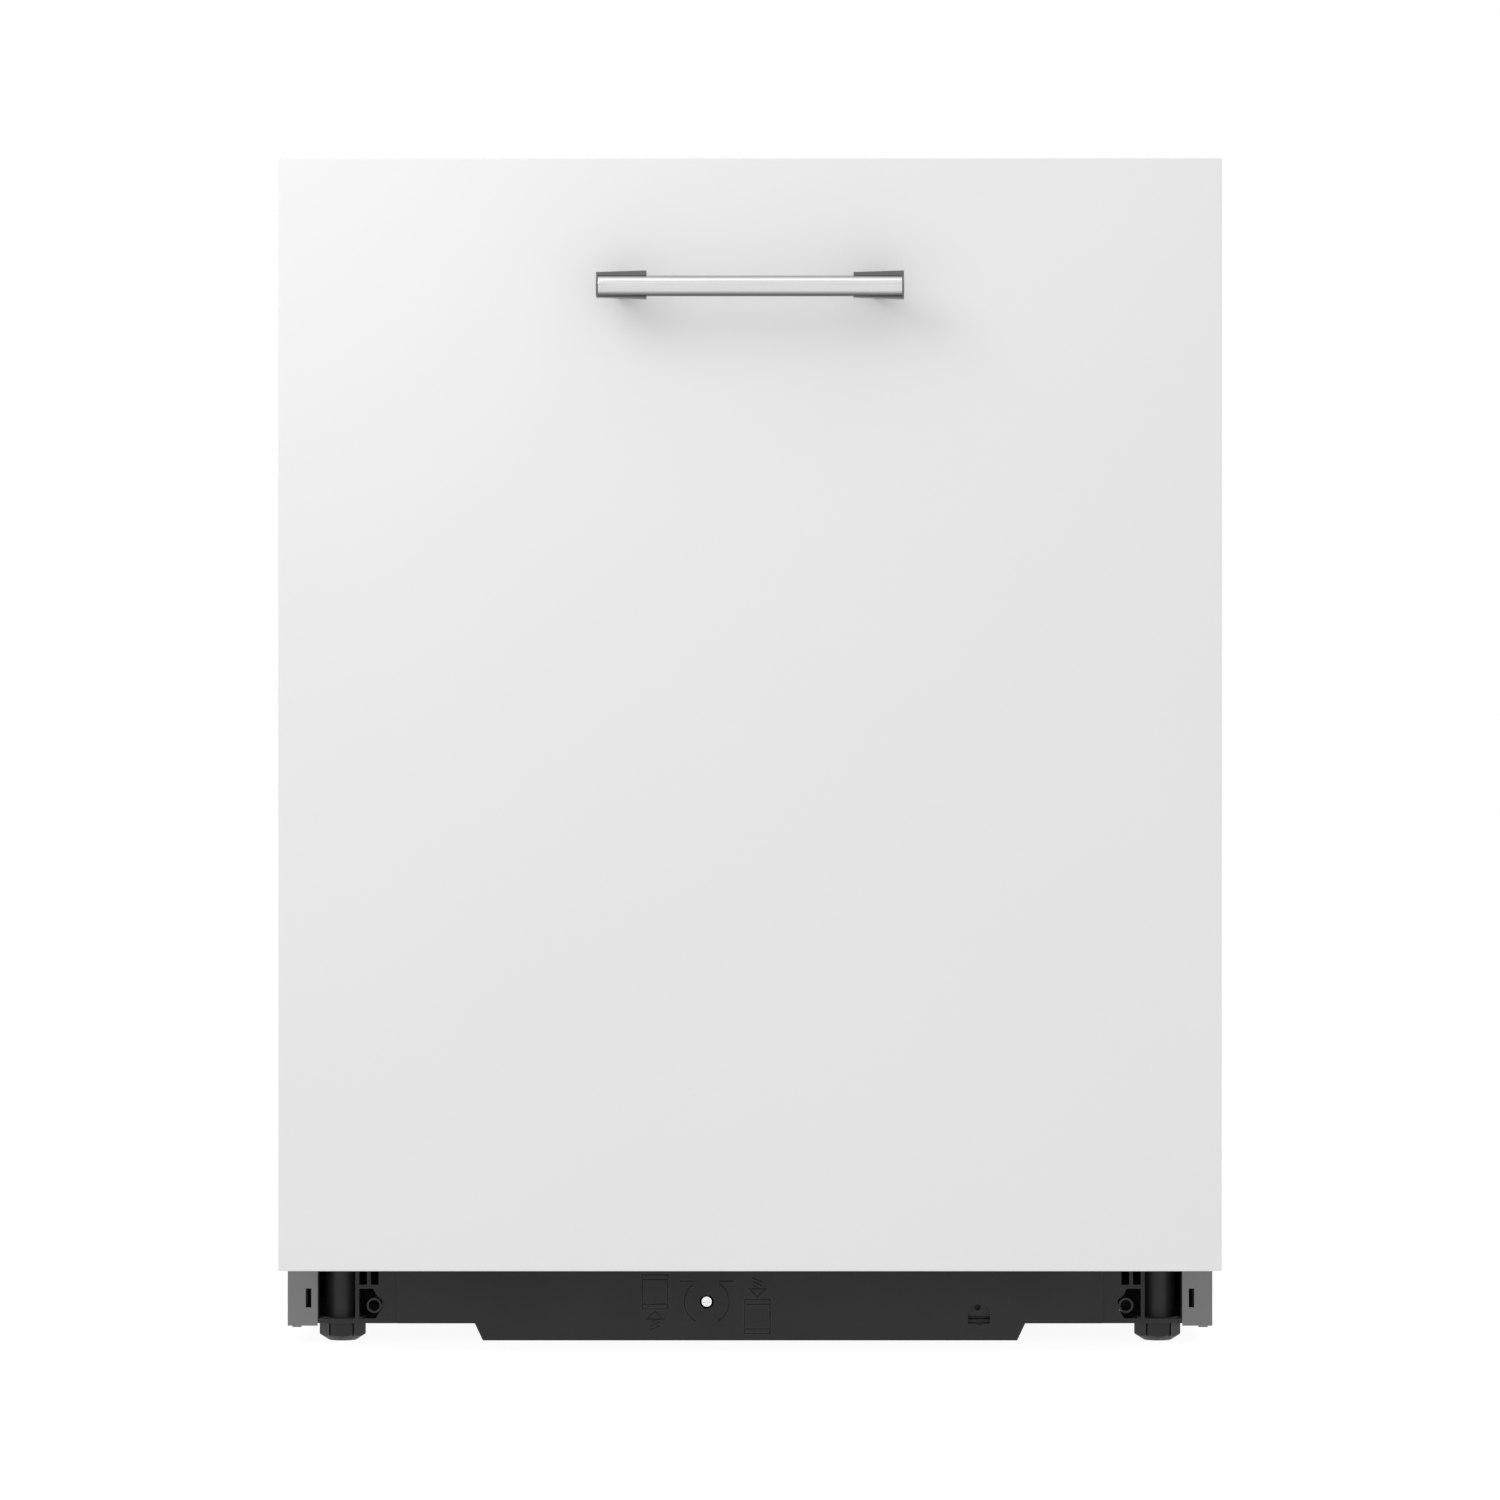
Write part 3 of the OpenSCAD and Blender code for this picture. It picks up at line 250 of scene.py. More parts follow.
def brushed(name, colour, roughness, along, spread=0.06, relief=0.00001, line_scale=1400.0, with_painted_reflection=False):
    """Brushed metal whose scratches run along one axis: 0, 1 or 2. On request, a painted reflection darkens its top
    and underside.
    """
    material, tree, shader, place = start_material(name, metallic=1.0)
    stretch = [1.0, 1.0, 1.0]
    stretch[along] = SCRATCH_STRETCH
    scratches = noise(tree, place, line_scale, 3.0, stretch)
    clouds = noise(tree, place, 5.0, 3.0)
    base = tint(tree, spread_value(tree, scratches, 0, 1), *shades(colour, spread))
    # Painted reflection: dark bands painted into the base colour at the top and underside of the bar
    if with_painted_reflection:
        base = paint_reflection_bands(tree, base)
    tree.links.new(base, shader.inputs["Base Color"])
    rough = tree.nodes.new("ShaderNodeMath")
    rough.operation = "ADD"
    tree.links.new(spread_value(tree, clouds, 0.0, 0.06), rough.inputs[0])
    tree.links.new(spread_value(tree, scratches, roughness - 0.05, roughness + 0.08), rough.inputs[1])
    tree.links.new(rough.outputs["Value"], shader.inputs["Roughness"])
    tree.links.new(bump(tree, scratches, relief), shader.inputs["Normal"])
    return material


def galvanised(name, colour=(0.55, 0.56, 0.57)):
    """Zinc coat with the flakes of its spangle."""
    material, tree, shader, place = start_material(name, metallic=0.85)
    flakes = tree.nodes.new("ShaderNodeTexVoronoi")
    flakes.inputs["Scale"].default_value = 95.0
    tree.links.new(place, flakes.inputs["Vector"])
    split = tree.nodes.new("ShaderNodeSeparateColor")
    tree.links.new(flakes.outputs["Color"], split.inputs["Color"])
    base = tint(tree, split.outputs["Red"], *shades(colour, 0.1))
    tree.links.new(base, shader.inputs["Base Color"])
    tree.links.new(spread_value(tree, split.outputs["Green"], 0.36, 0.52, 0, 1), shader.inputs["Roughness"])
    tree.links.new(bump(tree, noise(tree, place, 380.0, 3.0), 0.00002), shader.inputs["Normal"])
    return material


def lacquer(name):
    """Satin white lacquer with a faint orange-peel surface."""
    material, tree, shader, place = start_material(name, Coat_Weight=0.25, Coat_Roughness=0.28)
    clouds = spread_value(tree, noise(tree, place, 3.0, 3.0), 0, 1)
    white = tint(tree, clouds, (0.66, 0.66, 0.66), (0.67, 0.67, 0.669))
    tree.links.new(white, shader.inputs["Base Color"])
    tree.links.new(spread_value(tree, noise(tree, place, 40.0, 3.0), 0.38, 0.46), shader.inputs["Roughness"])
    peel = bump(tree, noise(tree, place, 420.0, 2.0), 0.00002, 0.6)
    tree.links.new(peel, shader.inputs["Normal"])
    return material


def felt(name, colour):
    """Fibrous mat with a rough relief."""
    material, tree, shader, place = start_material(name, Roughness=0.95, Sheen_Weight=0.3)
    fibres = noise(tree, place, 700.0, 6.0)
    tree.links.new(tint(tree, spread_value(tree, fibres, 0, 1), *shades(colour, 0.45)), shader.inputs["Base Color"])
    tree.links.new(bump(tree, fibres, 0.0006), shader.inputs["Normal"])
    return material


def make_materials():
    black = (0.0125, 0.0125, 0.0127)
    return {
        "white_lacquer": lacquer("white_lacquer"),
        # The handle bar's steel carries painted reflection bands: painted shade at the top and underside of the bar
        "satin_steel": brushed("satin_steel", (0.7, 0.7, 0.7), 0.24, 0, line_scale=2600.0, with_painted_reflection=True),
        "dark_zinc": matt("dark_zinc", (0.1, 0.1, 0.103), 0.38, grain=1500, wear=(0.24, 0.24, 0.24), coat=0.1),
        "grey_coated_steel": matt("grey_coated_steel", (0.158, 0.158, 0.16), 0.5, grain=1100, wear=(0.3, 0.3, 0.3)),
        "galvanised_steel": galvanised("galvanised_steel"),
        "stainless_steel": brushed("stainless_steel", (0.66, 0.665, 0.67), 0.3, 2),
        "black_plastic": matt("black_plastic", black, 0.5, grain=1300, wear=(0.06, 0.06, 0.062), shine=0.36),
        "black_gloss": matt("black_gloss", (0.012, 0.013, 0.015), 0.12, grain=60, relief=0.000004),
        "seal_rubber": matt("seal_rubber", (0.022, 0.022, 0.023), 0.72, grain=2200, relief=0.00006),
        "damping_mat": felt("damping_mat", (0.055, 0.056, 0.06)),
        "light_plastic": matt("light_plastic", (0.62, 0.62, 0.59), 0.42, wear=(0.8, 0.8, 0.78)),
        "grey_plastic": matt("grey_plastic", (0.22, 0.235, 0.25), 0.4, wear=(0.34, 0.35, 0.37)),
        "motor_grey": matt("motor_grey", (0.07, 0.073, 0.078), 0.45, wear=(0.2, 0.2, 0.2)),
        "spring_steel": brushed("spring_steel", (0.32, 0.32, 0.33), 0.34, 2),
        "zinc_plate": brushed("zinc_plate", (0.86, 0.86, 0.84), 0.22, 1, line_scale=900.0),
        "coated_wire": matt("coated_wire", (0.3, 0.31, 0.335), 0.36, grain=1800, spread=0.07, coat=0.3),
        "silver_plastic": matt("silver_plastic", (0.5, 0.505, 0.51), 0.3, grain=2500, relief=0.00001, coat=0.4),
        "circuit_board": matt("circuit_board", (0.012, 0.1, 0.04), 0.35, grain=300),
    }


# ---------- CAD nodes that keep their shape ----------

# Width of a node's soft edges in millimetres. The base front has fine grooves, so its edges stay as they are.
SOFT_EDGE = {
    "front_panel": 0.9, "handle_brackets": 0.55, "handle_bar": 0.35, "base_front": 0, "base_tray": 0.4,
    "front_foot_left": 0.4, "front_foot_right": 0.4, "dispenser_lid": 1.2, "rinse_aid_cap": 0.8,
    "dispenser_body": 0.6, "lower_wheels_front": 0.8, "lower_wheels_rear": 0.8, "softener_cap": 1.0,
    "control_housing": 0.8, "cutlery_tray": 0.5, "filter_cup": 0.8, "button_power": 0.6, "button_program": 0.6,
    "button_option": 0.6, "button_start": 0.6, "circulation_pump": 1.5, "drain_pump": 1.0, "inlet_valve": 1.0,
}
SHEET_EDGE = 0.25
WELD_REACH = 0.01 * MM
NODE_SLOTS = {part["node"]: part["material_slot"] for part in frame["record"]["subparts"]}


def dress_cad_nodes():
    """Gives every CAD node its material and soft edges."""
    for name, node in NODES.items():
        node.data.materials.clear()
        node.data.materials.append(materials[NODE_SLOTS[name]])
        width = SOFT_EDGE.get(name, SHEET_EDGE)
        if width:
            soften(node, width * MM)


def soften(piece, width):
    """Small round edges that catch the light, made by modifiers so that the mesh itself stays as it is."""
    weld = piece.modifiers.new("weld", "WELD")
    weld.merge_threshold = WELD_REACH
    flatten = piece.modifiers.new("flatten", "DECIMATE")
    flatten.decimate_type = "DISSOLVE"
    flatten.angle_limit = math.radians(0.5)
    for face in piece.data.polygons:
        face.use_smooth = True
    round_off(piece, width)


def round_off(piece, width, angle=40):
    """Bevels the edges that turn by more than an angle in degrees. The width is in metres."""
    round_edges = piece.modifiers.new("round_edges", "BEVEL")
    round_edges.width = width
    round_edges.segments = 2
    round_edges.limit_method = "ANGLE"
    round_edges.angle_limit = math.radians(angle)
    round_edges.use_clamp_overlap = True
    weigh_normals(piece)


def weigh_normals(piece):
    """Lets the large faces decide the shading, so that flat faces look flat."""
    shading = piece.modifiers.new("shading", "WEIGHTED_NORMAL")
    shading.weight = 100
    shading.keep_sharp = False


# ---------- Making pieces ----------

# Share of a straight stretch that an arc at its end may take
LONGEST_ARC = 0.49


def add_piece(name, data, slot, body, replaced=()):
    """A new piece from a mesh or curve drawn in millimetres."""
    data.transform(Matrix.Scale(MM, 4))
    piece = bpy.data.objects.new(name, data)
    bpy.context.scene.collection.objects.link(piece)
    data.materials.append(materials[slot])
    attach(piece, body)
    if replaced:
        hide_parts(*replaced)
    return piece


def spread(low, high, count):
    """Evenly spaced values from low to high."""
    return [low + (high - low) * k / (count - 1) for k in range(count)]


def bend(points, radius, closed=False, steps=4):
    """The points of a wire, with an arc of that radius in place of each corner."""
    path = []
    count = len(points)
    for i, point in enumerate(points):
        corner = Vector(point)
        if not closed and i in (0, count - 1):
            path.append(corner)
            continue
        back = Vector(points[i - 1]) - corner
        ahead = Vector(points[(i + 1) % count]) - corner
        half = back.angle(ahead) / 2
        reach = min(radius / math.tan(half), LONGEST_ARC * back.length, LONGEST_ARC * ahead.length)
        back.normalize()
        ahead.normalize()
        centre = corner + (back + ahead).normalized() * reach / math.cos(half)
        start = corner + back * reach - centre
        stop = corner + ahead * reach - centre
        path += [centre + start.slerp(stop, k / steps) * start.length for k in range(steps + 1)]
    return path


def wires(name, paths, radius, slot, body, replaced=()):
    """Round wires, one spline for each (points, closed) pair. Scaling the curve scales its bevel too."""
    curve = bpy.data.curves.new(name, "CURVE")
    curve.dimensions = "3D"
    curve.bevel_depth = radius
    curve.bevel_resolution = 2
    curve.use_fill_caps = True
    for path, closed in paths:
        spline = curve.splines.new("POLY")
        spline.points.add(len(path) - 1)
        for point, place in zip(spline.points, path):
            point.co = (*place, 1)
        spline.use_cyclic_u = closed
        spline.use_smooth = True
    return add_piece(name, curve, slot, body, replaced)


def prism(bm, outline, axis, start, stop):
    """A closed solid: an outline in the two other axes, pushed along an axis (0, 1 or 2)."""
    def place(point, level):
        spot = list(point)
        spot.insert(axis, level)
        return bm.verts.new(spot)

    lower = [place(p, start) for p in outline]
    upper = [place(p, stop) for p in outline]
    bm.faces.new(lower)
    bm.faces.new(upper)
    for i in range(len(outline)):
        j = (i + 1) % len(outline)
        bm.faces.new((lower[i], lower[j], upper[j], upper[i]))


def rounded(low, high, radius, steps=5):
    """Outline of a rectangle with round corners."""
    outline = []
    corners = (
        (high[0] - radius, high[1] - radius, 0), (low[0] + radius, high[1] - radius, 90),
        (low[0] + radius, low[1] + radius, 180), (high[0] - radius, low[1] + radius, 270),
    )
    for x, y, turn in corners:
        for k in range(steps + 1):
            angle = math.radians(turn + 90 * k / steps)
            outline.append((x + radius * math.cos(angle), y + radius * math.sin(angle)))
    return outline


def lathe(bm, profile, origin, axis=2, steps=28):
    """A solid of revolution round an axis through the origin. The profile is (radius, distance along)."""
    def place(radius, along, angle):
        spot = [radius * math.cos(angle), radius * math.sin(angle)]
        spot.insert(axis, along)
        return bm.verts.new(Vector(spot) + Vector(origin))

    rings = []
    for radius, along in profile:
        if radius == 0:
            rings.append([place(0, along, 0)] * steps)
        else:
            rings.append([place(radius, along, 2 * math.pi * k / steps) for k in range(steps)])
    for ring, following in zip(rings, rings[1:]):
        for k in range(steps):
            corners = [ring[k], ring[(k + 1) % steps], following[(k + 1) % steps], following[k]]
            corners = list(dict.fromkeys(corners))
            if len(corners) > 2:
                bm.faces.new(corners)
    for ring in (rings[0], rings[-1]):
        if len(set(ring)) > 2:
            bm.faces.new(ring)


def smooth_mesh(name, bm):
    """Ends a bmesh as a mesh with smooth shading."""
    mesh = bpy.data.meshes.new(name)
    bm.to_mesh(mesh)
    bm.free()
    mesh.shade_smooth()
    return mesh


def thicken(piece, thickness):
    """Gives a surface its thickness in millimetres, to the side of its normals or, if negative, to the other."""
    sheet = piece.modifiers.new("thickness", "SOLIDIFY")
    sheet.thickness = abs(thickness) * MM
    sheet.offset = math.copysign(1, thickness)


def solid(name, bm, slot, body, edge=0.3, replaced=()):
    """Turns a bmesh of closed shells into a piece with soft edges."""
    bmesh.ops.recalc_face_normals(bm, faces=bm.faces)
    piece = add_piece(name, smooth_mesh(name, bm), slot, body, replaced)
    if edge:
        round_off(piece, edge * MM, 35)
    return piece


def lines(low, high, step, *extra):
    """Grid lines about a step apart, with extra ones where a bend needs them."""
    count = max(2, round((high - low) / step) + 1)
    return sorted(set(spread(low, high, count)) | {e for e in extra if low < e < high})


def near(edge, reach, side):
    """Grid lines across a bend that runs from an edge inwards."""
    return [edge + side * reach * k / 5 for k in range(6)]


def pressed_sheet(name, us, vs, place, keep, thickness, slot, body, replaced=()):
    """Sheet metal over a grid: place(u, v) gives each point, and keep(u, v) is false where there is a hole."""
    bm = bmesh.new()
    grid = [[bm.verts.new(place(u, v)) for v in vs] for u in us]
    for i in range(len(us) - 1):
        for j in range(len(vs) - 1):
            if keep((us[i] + us[i + 1]) / 2, (vs[j] + vs[j + 1]) / 2):
                bm.faces.new((grid[i][j], grid[i + 1][j], grid[i + 1][j + 1], grid[i][j + 1]))
    loose = [v for v in bm.verts if not v.link_faces]
    bmesh.ops.delete(bm, geom=loose, context="VERTS")
    piece = add_piece(name, smooth_mesh(name, bm), slot, body, replaced)
    thicken(piece, thickness)
    return piece


def smooth_step(x):
    """Rises smoothly from 0 to 1 as x does, and stays level outside."""
    x = min(max(x, 0.0), 1.0)
    return x * x * (3 - 2 * x)


def depth_inside(u, v, low, high, radius):
    """How far a point lies inside a rectangle with round corners: negative outside it."""
    du = abs(u - (low[0] + high[0]) / 2) - (high[0] - low[0]) / 2 + radius
    dv = abs(v - (low[1] + high[1]) / 2) - (high[1] - low[1]) / 2 + radius
    return radius - math.hypot(max(du, 0), max(dv, 0)) - min(max(du, dv), 0)


def loft(bm, rings):
    """Skins a row of closed rings of the same count, and closes both ends."""
    made = [[bm.verts.new(p) for p in ring] for ring in rings]
    for ring, following in zip(made, made[1:]):
        for k in range(len(ring)):
            j = (k + 1) % len(ring)
            bm.faces.new((ring[k], ring[j], following[j], following[k]))
    bm.faces.new(made[0])
    bm.faces.new(made[-1])


# ---------- Racks ----------

# Radii of the wires, and of their bends
WIRE = 2.0
RIM = 3.0
TINE = 1.75
WIRE_BEND = 11
BELT_BEND = 10
RIM_BEND = 13

# Distance between long wires, number of cross wires and their distance from the ends, and a tine row's overhang
WIRE_STEP = 30
CROSS_WIRES = 7
CROSS_INSET = 12
ROW_END = 12

# Racks: half width, height of the floor wires and height of the rim
LINER_Y = box_mm("door_inner_liner")[1].y
RACK_FRONT = LINER_Y + 17
RACK_BACK = 235
LOWER_HALF, LOWER_FLOOR, LOWER_RIM = 250, 174, 328
UPPER_HALF, UPPER_FLOOR, UPPER_RIM = 240, 476, 612

# Heights of the tines over the rack's floor, their places, and how they lean at each distance below the tip
LOWER_TINE = 92
UPPER_TINE = 62
LOWER_TINE_ROWS = range(20, 221, 40)
UPPER_TINE_ROWS = (-90, 60)
TINE_TIP = ((12, 0), (4, 1.2), (0, 3))

# How far a grip reaches before and behind the rack's front, and where the folding tines' ears begin
GRIP_FRONT = 4
GRIP_BACK = 10
EAR_X = 231

# Middle of the upper rack's rails, and the cup shelf's axle
RAIL_Z = 560
SHELF_X, SHELF_Z = 229, 556


def rack_loop(half, front, back, z, radius):
    """A closed level wire round a rack."""
    corners = [(-half, front, z), (half, front, z), (half, back, z), (-half, back, z)]
    return bend(corners, radius, closed=True), True


def basket_wires(half, front, back, floor_z, rim_z, count):
    """Bent cross wires and long wires, each one running from rim to rim, and a belt inside them."""
    side = half - WIRE
    long_z = floor_z + 2 * WIRE
    near_y, far_y = front + WIRE, back - WIRE
    paths = []
    for y in spread(front + CROSS_INSET, back - CROSS_INSET, CROSS_WIRES):
        path = [(-side, y, rim_z), (-side, y, floor_z), (side, y, floor_z), (side, y, rim_z)]
        paths.append((bend(path, WIRE_BEND), False))
    for k in range(-count, count + 1):
        x = k * WIRE_STEP
        path = [(x, near_y, rim_z), (x, near_y, long_z), (x, far_y, long_z), (x, far_y, rim_z)]
        paths.append((bend(path, WIRE_BEND), False))
    belt_z = (floor_z + rim_z) / 2
    paths.append(rack_loop(side - 2 * WIRE, front + 3 * WIRE, back - 3 * WIRE, belt_z, BELT_BEND))
    return paths


def tine_row(xs, ys, low, high):
    """Upright tines that lean back a little at their tips."""
    tines = []
    for x in xs:
        for y in ys:
            tip = [(x, y + lean, high - below) for below, lean in TINE_TIP]
            tines.append(([(x, y, low), *tip], False))
    return tines


def grip(bm, y0, y1, z0, half=62):
    """Moulded grip on a rack's front rim, with a finger hollow under its front edge."""
    outline = [
        (y0, z0 + 1.6), (y0 + 1.6, z0), (y0 + 4.6, z0), (y0 + 5.2, z0 + 2.2), (y1 - 2, z0 + 2.2), (y1 - 1.6, z0),
        (y1, z0 + 0.4), (y1, z0 + 4), (y1 - 1, z0 + 5), (y0 + 1.4, z0 + 5), (y0, z0 + 3.8),
    ]
    prism(bm, outline, 0, -half, half)
    for x in (-0.6 * half, 0, 0.6 * half):
        prism(bm, rounded((x - 9, y0 + 5), (x + 9, y1 - 1.5), 2), 2, z0 - 5.5, z0 + 3)


def make_lower_rack():
    front, back = RACK_FRONT, RACK_BACK
    paths = basket_wires(LOWER_HALF, front, back, LOWER_FLOOR, LOWER_RIM, 8)
    tine_z = LOWER_FLOOR + 4 * WIRE
    xs = [k * WIRE_STEP for k in range(-7, 0)]
    for y in LOWER_TINE_ROWS:
        paths.append(([(xs[0] - ROW_END, y, tine_z), (xs[-1] + ROW_END, y, tine_z)], False))
    wires("lower_rack_wires", paths, WIRE, "coated_wire", "lower_rack", ["lower_rack"])
    rim = [rack_loop(LOWER_HALF - WIRE, front + WIRE, back - WIRE, LOWER_RIM, RIM_BEND)]
    wires("lower_rack_rim", rim, RIM, "coated_wire", "lower_rack")
    tines = tine_row(xs, LOWER_TINE_ROWS, tine_z, LOWER_FLOOR + LOWER_TINE)
    wires("lower_rack_tines", tines, TINE, "coated_wire", "lower_rack")

    bm = bmesh.new()
    for wheels in ("lower_wheels_front", "lower_wheels_rear"):
        low, high = box_mm(wheels)
        wheel_bracket(bm, (low.y + high.y) / 2, (low.z + high.z) / 2)
    grip(bm, front - GRIP_FRONT, front + GRIP_BACK, LOWER_RIM + RIM)
    solid("lower_rack_mouldings", bm, "grey_plastic", "lower_rack", 0.6)


def wheel_bracket(bm, y, wheel_z):
    """A pair of hangers under the rack's sides, each with a wheel pin and two hooks over the wires."""
    top = LOWER_FLOOR - WIRE
    half = [(20, top), (20, top - 4), (12, top - 5), (9, top - 9), (9, wheel_z - 3), (5, wheel_z - 7)]
    outline = [(y - u, z) for u, z in half] + [(y + u, z) for u, z in reversed(half)]
    for side in (-1, 1):
        prism(bm, outline, 0, side * (LOWER_HALF - 5), side * LOWER_HALF)
        pin = [(0, 0), (3, 0), (3, side * 12), (2.4, side * 12.5), (0, side * 12.5)]
        lathe(bm, pin, (side * LOWER_HALF, y, wheel_z), axis=0, steps=16)
        for hook_y in (y - 15, y + 15):
            hook = rounded((hook_y - 3, top - 1), (hook_y + 3, LOWER_FLOOR + 6), 2)
            prism(bm, hook, 0, side * (LOWER_HALF - 5), side * (LOWER_HALF - 1.5))


def make_fold_down_tines():
    low, high = box_mm("fold_down_tines")
    y = (low.y + high.y) / 2
    axis_z = low.z + WIRE
    axle = [([(low.x, y, axis_z), (high.x, y, axis_z)], False)]
    wires("fold_down_axle", axle, WIRE, "coated_wire", "fold_down_tines", ["fold_down_tines"])
    xs = [k * WIRE_STEP for k in range(-7, 8)]
    tines = [([(x, y, axis_z), (x, y, high.z)], False) for x in xs]
    wires("fold_down_rods", tines, TINE, "coated_wire", "fold_down_tines")
    bm = bmesh.new()
    for x in xs:
        lathe(bm, [(0, -4.5), (3.4, -4.5), (3.4, 4.5), (0, 4.5)], (x, y, axis_z), axis=0, steps=16)
    solid("fold_down_clips", bm, "grey_plastic", "fold_down_tines", 0.5)
    bm = bmesh.new()
    for side in (-1, 1):
        ear = rounded((y - 5, axis_z - 2.5), (y + 5, axis_z + 5), 2.2)
        prism(bm, ear, 0, side * EAR_X, side * (EAR_X + 3))
        foot = rounded((y - 7, axis_z - 5), (y + 7, axis_z - 2.4), 1)
        prism(bm, foot, 0, side * EAR_X, side * (EAR_X + 11))
    solid("fold_down_ears", bm, "grey_plastic", "lower_rack", 0.4)


def make_upper_rack():
    front, back = RACK_FRONT + 2, RACK_BACK
    paths = basket_wires(UPPER_HALF, front, back, UPPER_FLOOR, UPPER_RIM, 7)
    tine_z = UPPER_FLOOR + 4 * WIRE
    ys = list(range(-120, 196, 35))
    for x in UPPER_TINE_ROWS:
        paths.append(([(x, ys[0] - ROW_END, tine_z), (x, ys[-1] + ROW_END, tine_z)], False))
    wires("upper_rack_wires", paths, WIRE, "coated_wire", "upper_rack", ["upper_rack"])
    rim = [rack_loop(UPPER_HALF - WIRE, front + WIRE, back - WIRE, UPPER_RIM, RIM_BEND)]
    wires("upper_rack_rim", rim, RIM, "coated_wire", "upper_rack")
    tines = tine_row(UPPER_TINE_ROWS, ys, tine_z, UPPER_FLOOR + UPPER_TINE)
    wires("upper_rack_tines", tines, TINE, "coated_wire", "upper_rack")
    make_runners()
    make_upper_mouldings(front)


def make_runners():
    """The rack's inner rails, with the plates that carry the basket."""
    rail_low, rail_high = box_mm("upper_middle_rails")
    tub_x = box_mm("tub_floor")[1].x
    lower_half = [(24, 14), (14.5, 14), (14.5, 6.5), (16.6, 6.5), (16.6, 10.5), (21, 10.5)]
    section = [(tub_x - u, RAIL_Z - v) for u, v in lower_half]
    section += [(tub_x - u, RAIL_Z + v) for u, v in reversed(lower_half)]
    plate_x = UPPER_HALF - 1
    bm = bmesh.new()
    for side in (-1, 1):
        prism(bm, [(side * x, z) for x, z in section], 1, rail_low.y + 2, rail_high.y)
        for y in (-120, 170):
            plate = rounded((y - 15, RAIL_Z - 14), (y + 15, RAIL_Z + 14), 4)
            prism(bm, plate, 0, side * plate_x, side * (tub_x - 24))
            for rivet_y in (y - 9, y + 9):
                rivet = [(0, 0), (3, 0), (2.4, -1.4 * side), (0, -1.8 * side)]
                lathe(bm, rivet, (side * plate_x, rivet_y, RAIL_Z), axis=0, steps=16)
    solid("upper_rack_runners", bm, "galvanised_steel", "upper_rack", 0.4)


def make_upper_mouldings(front):
    """The water tube that feeds the upper arm, with its clips, the grip and the cup shelf's ears."""
    bm = bmesh.new()
    arm_low, arm_high = box_mm("upper_spray_arm")
    arm_y = (arm_low.y + arm_high.y) / 2
    tube_z = arm_high.z + 14
    tube = [
        (0, 0), (8, 0), (8, 30), (9.5, 34), (9.5, 44), (8, 48), (8, 205), (9.2, 206), (9.2, 218.7), (0, 218.7),
    ]
    lathe(bm, tube, (0, arm_y - 10, tube_z), axis=1)
    hub = [(0, -9), (9, -9), (9, 8), (11, 10), (11, 14), (0, 14)]
    lathe(bm, hub, (0, arm_y, arm_high.z))
    for y in (60, 200):
        prism(bm, rounded((-10, y - 5), (10, y + 5), 3), 2, tube_z + 7, UPPER_FLOOR + 5)
    grip(bm, front - GRIP_FRONT, front + GRIP_BACK, UPPER_RIM + RIM)
    for y in (-146, 192):
        ear = rounded((SHELF_X - 5, SHELF_Z - 5), (UPPER_HALF - 1, SHELF_Z + 5), 3)
        prism(bm, ear, 1, y, y + 3)
    solid("upper_rack_mouldings", bm, "grey_plastic", "upper_rack", 0.5)


def make_cup_shelf():
    low, high = box_mm("cup_shelf")
    x = (low.x + high.x) / 2
    axle_r = 3
    axis_z = low.z + axle_r
    axle = [([(x, low.y, axis_z), (x, high.y, axis_z)], False)]
    wires("cup_shelf_axle", axle, axle_r, "grey_plastic", "cup_shelf", ["cup_shelf"])
    shelf_wire = 1.5
    y0, y1 = -137, 187
    low_z, tall = axis_z + axle_r, high.z - shelf_wire
    outer = [(x, y0, low_z), (x, y0, tall), (x, y1, tall), (x, y1, low_z)]
    paths = [(bend(outer, 14), False)]
    for z in (axis_z + 25, axis_z + 50):
        paths.append(([(x, y0, z), (x, y1, z)], False))
    for y in spread(y0, y1, 9)[1:-1]:
        paths.append(([(x, y, low_z), (x, y, tall)], False))
    wires("cup_shelf_wires", paths, shelf_wire, "coated_wire", "cup_shelf")


# ---------- Tub, door liner and seal ----------

TUB_CORNER = 22
TUB_WALL = 1.5

# Beads in the tub's walls: their heights on the sides, how far they stand out, and how far they sink into the wall
SIDE_BEAD_HEIGHTS = (260, 400)
BEAD_DEPTH = 1.8
BEAD_ROOT = 0.4

# The dish in the door's liner, and the heights of its beads
DISH_DEPTH = 8
DISH_SLOPE = 14
DISH_CORNER = 40
DISH_BEADS = (214, 250, 286)

# The seal's section: (outwards from the tub's mouth, along the depth). It is narrower along the top.
SEAL_SECTION = ((-3.4, 2.1), (3.4, 2.1), (3.8, 0.6), (3.2, -1.2), (1.6, -2.1), (-0.6, -2.1), (-2.4, -1.6), (-3.9, 0.2))
SEAL_TOP_WIDTH = 0.74


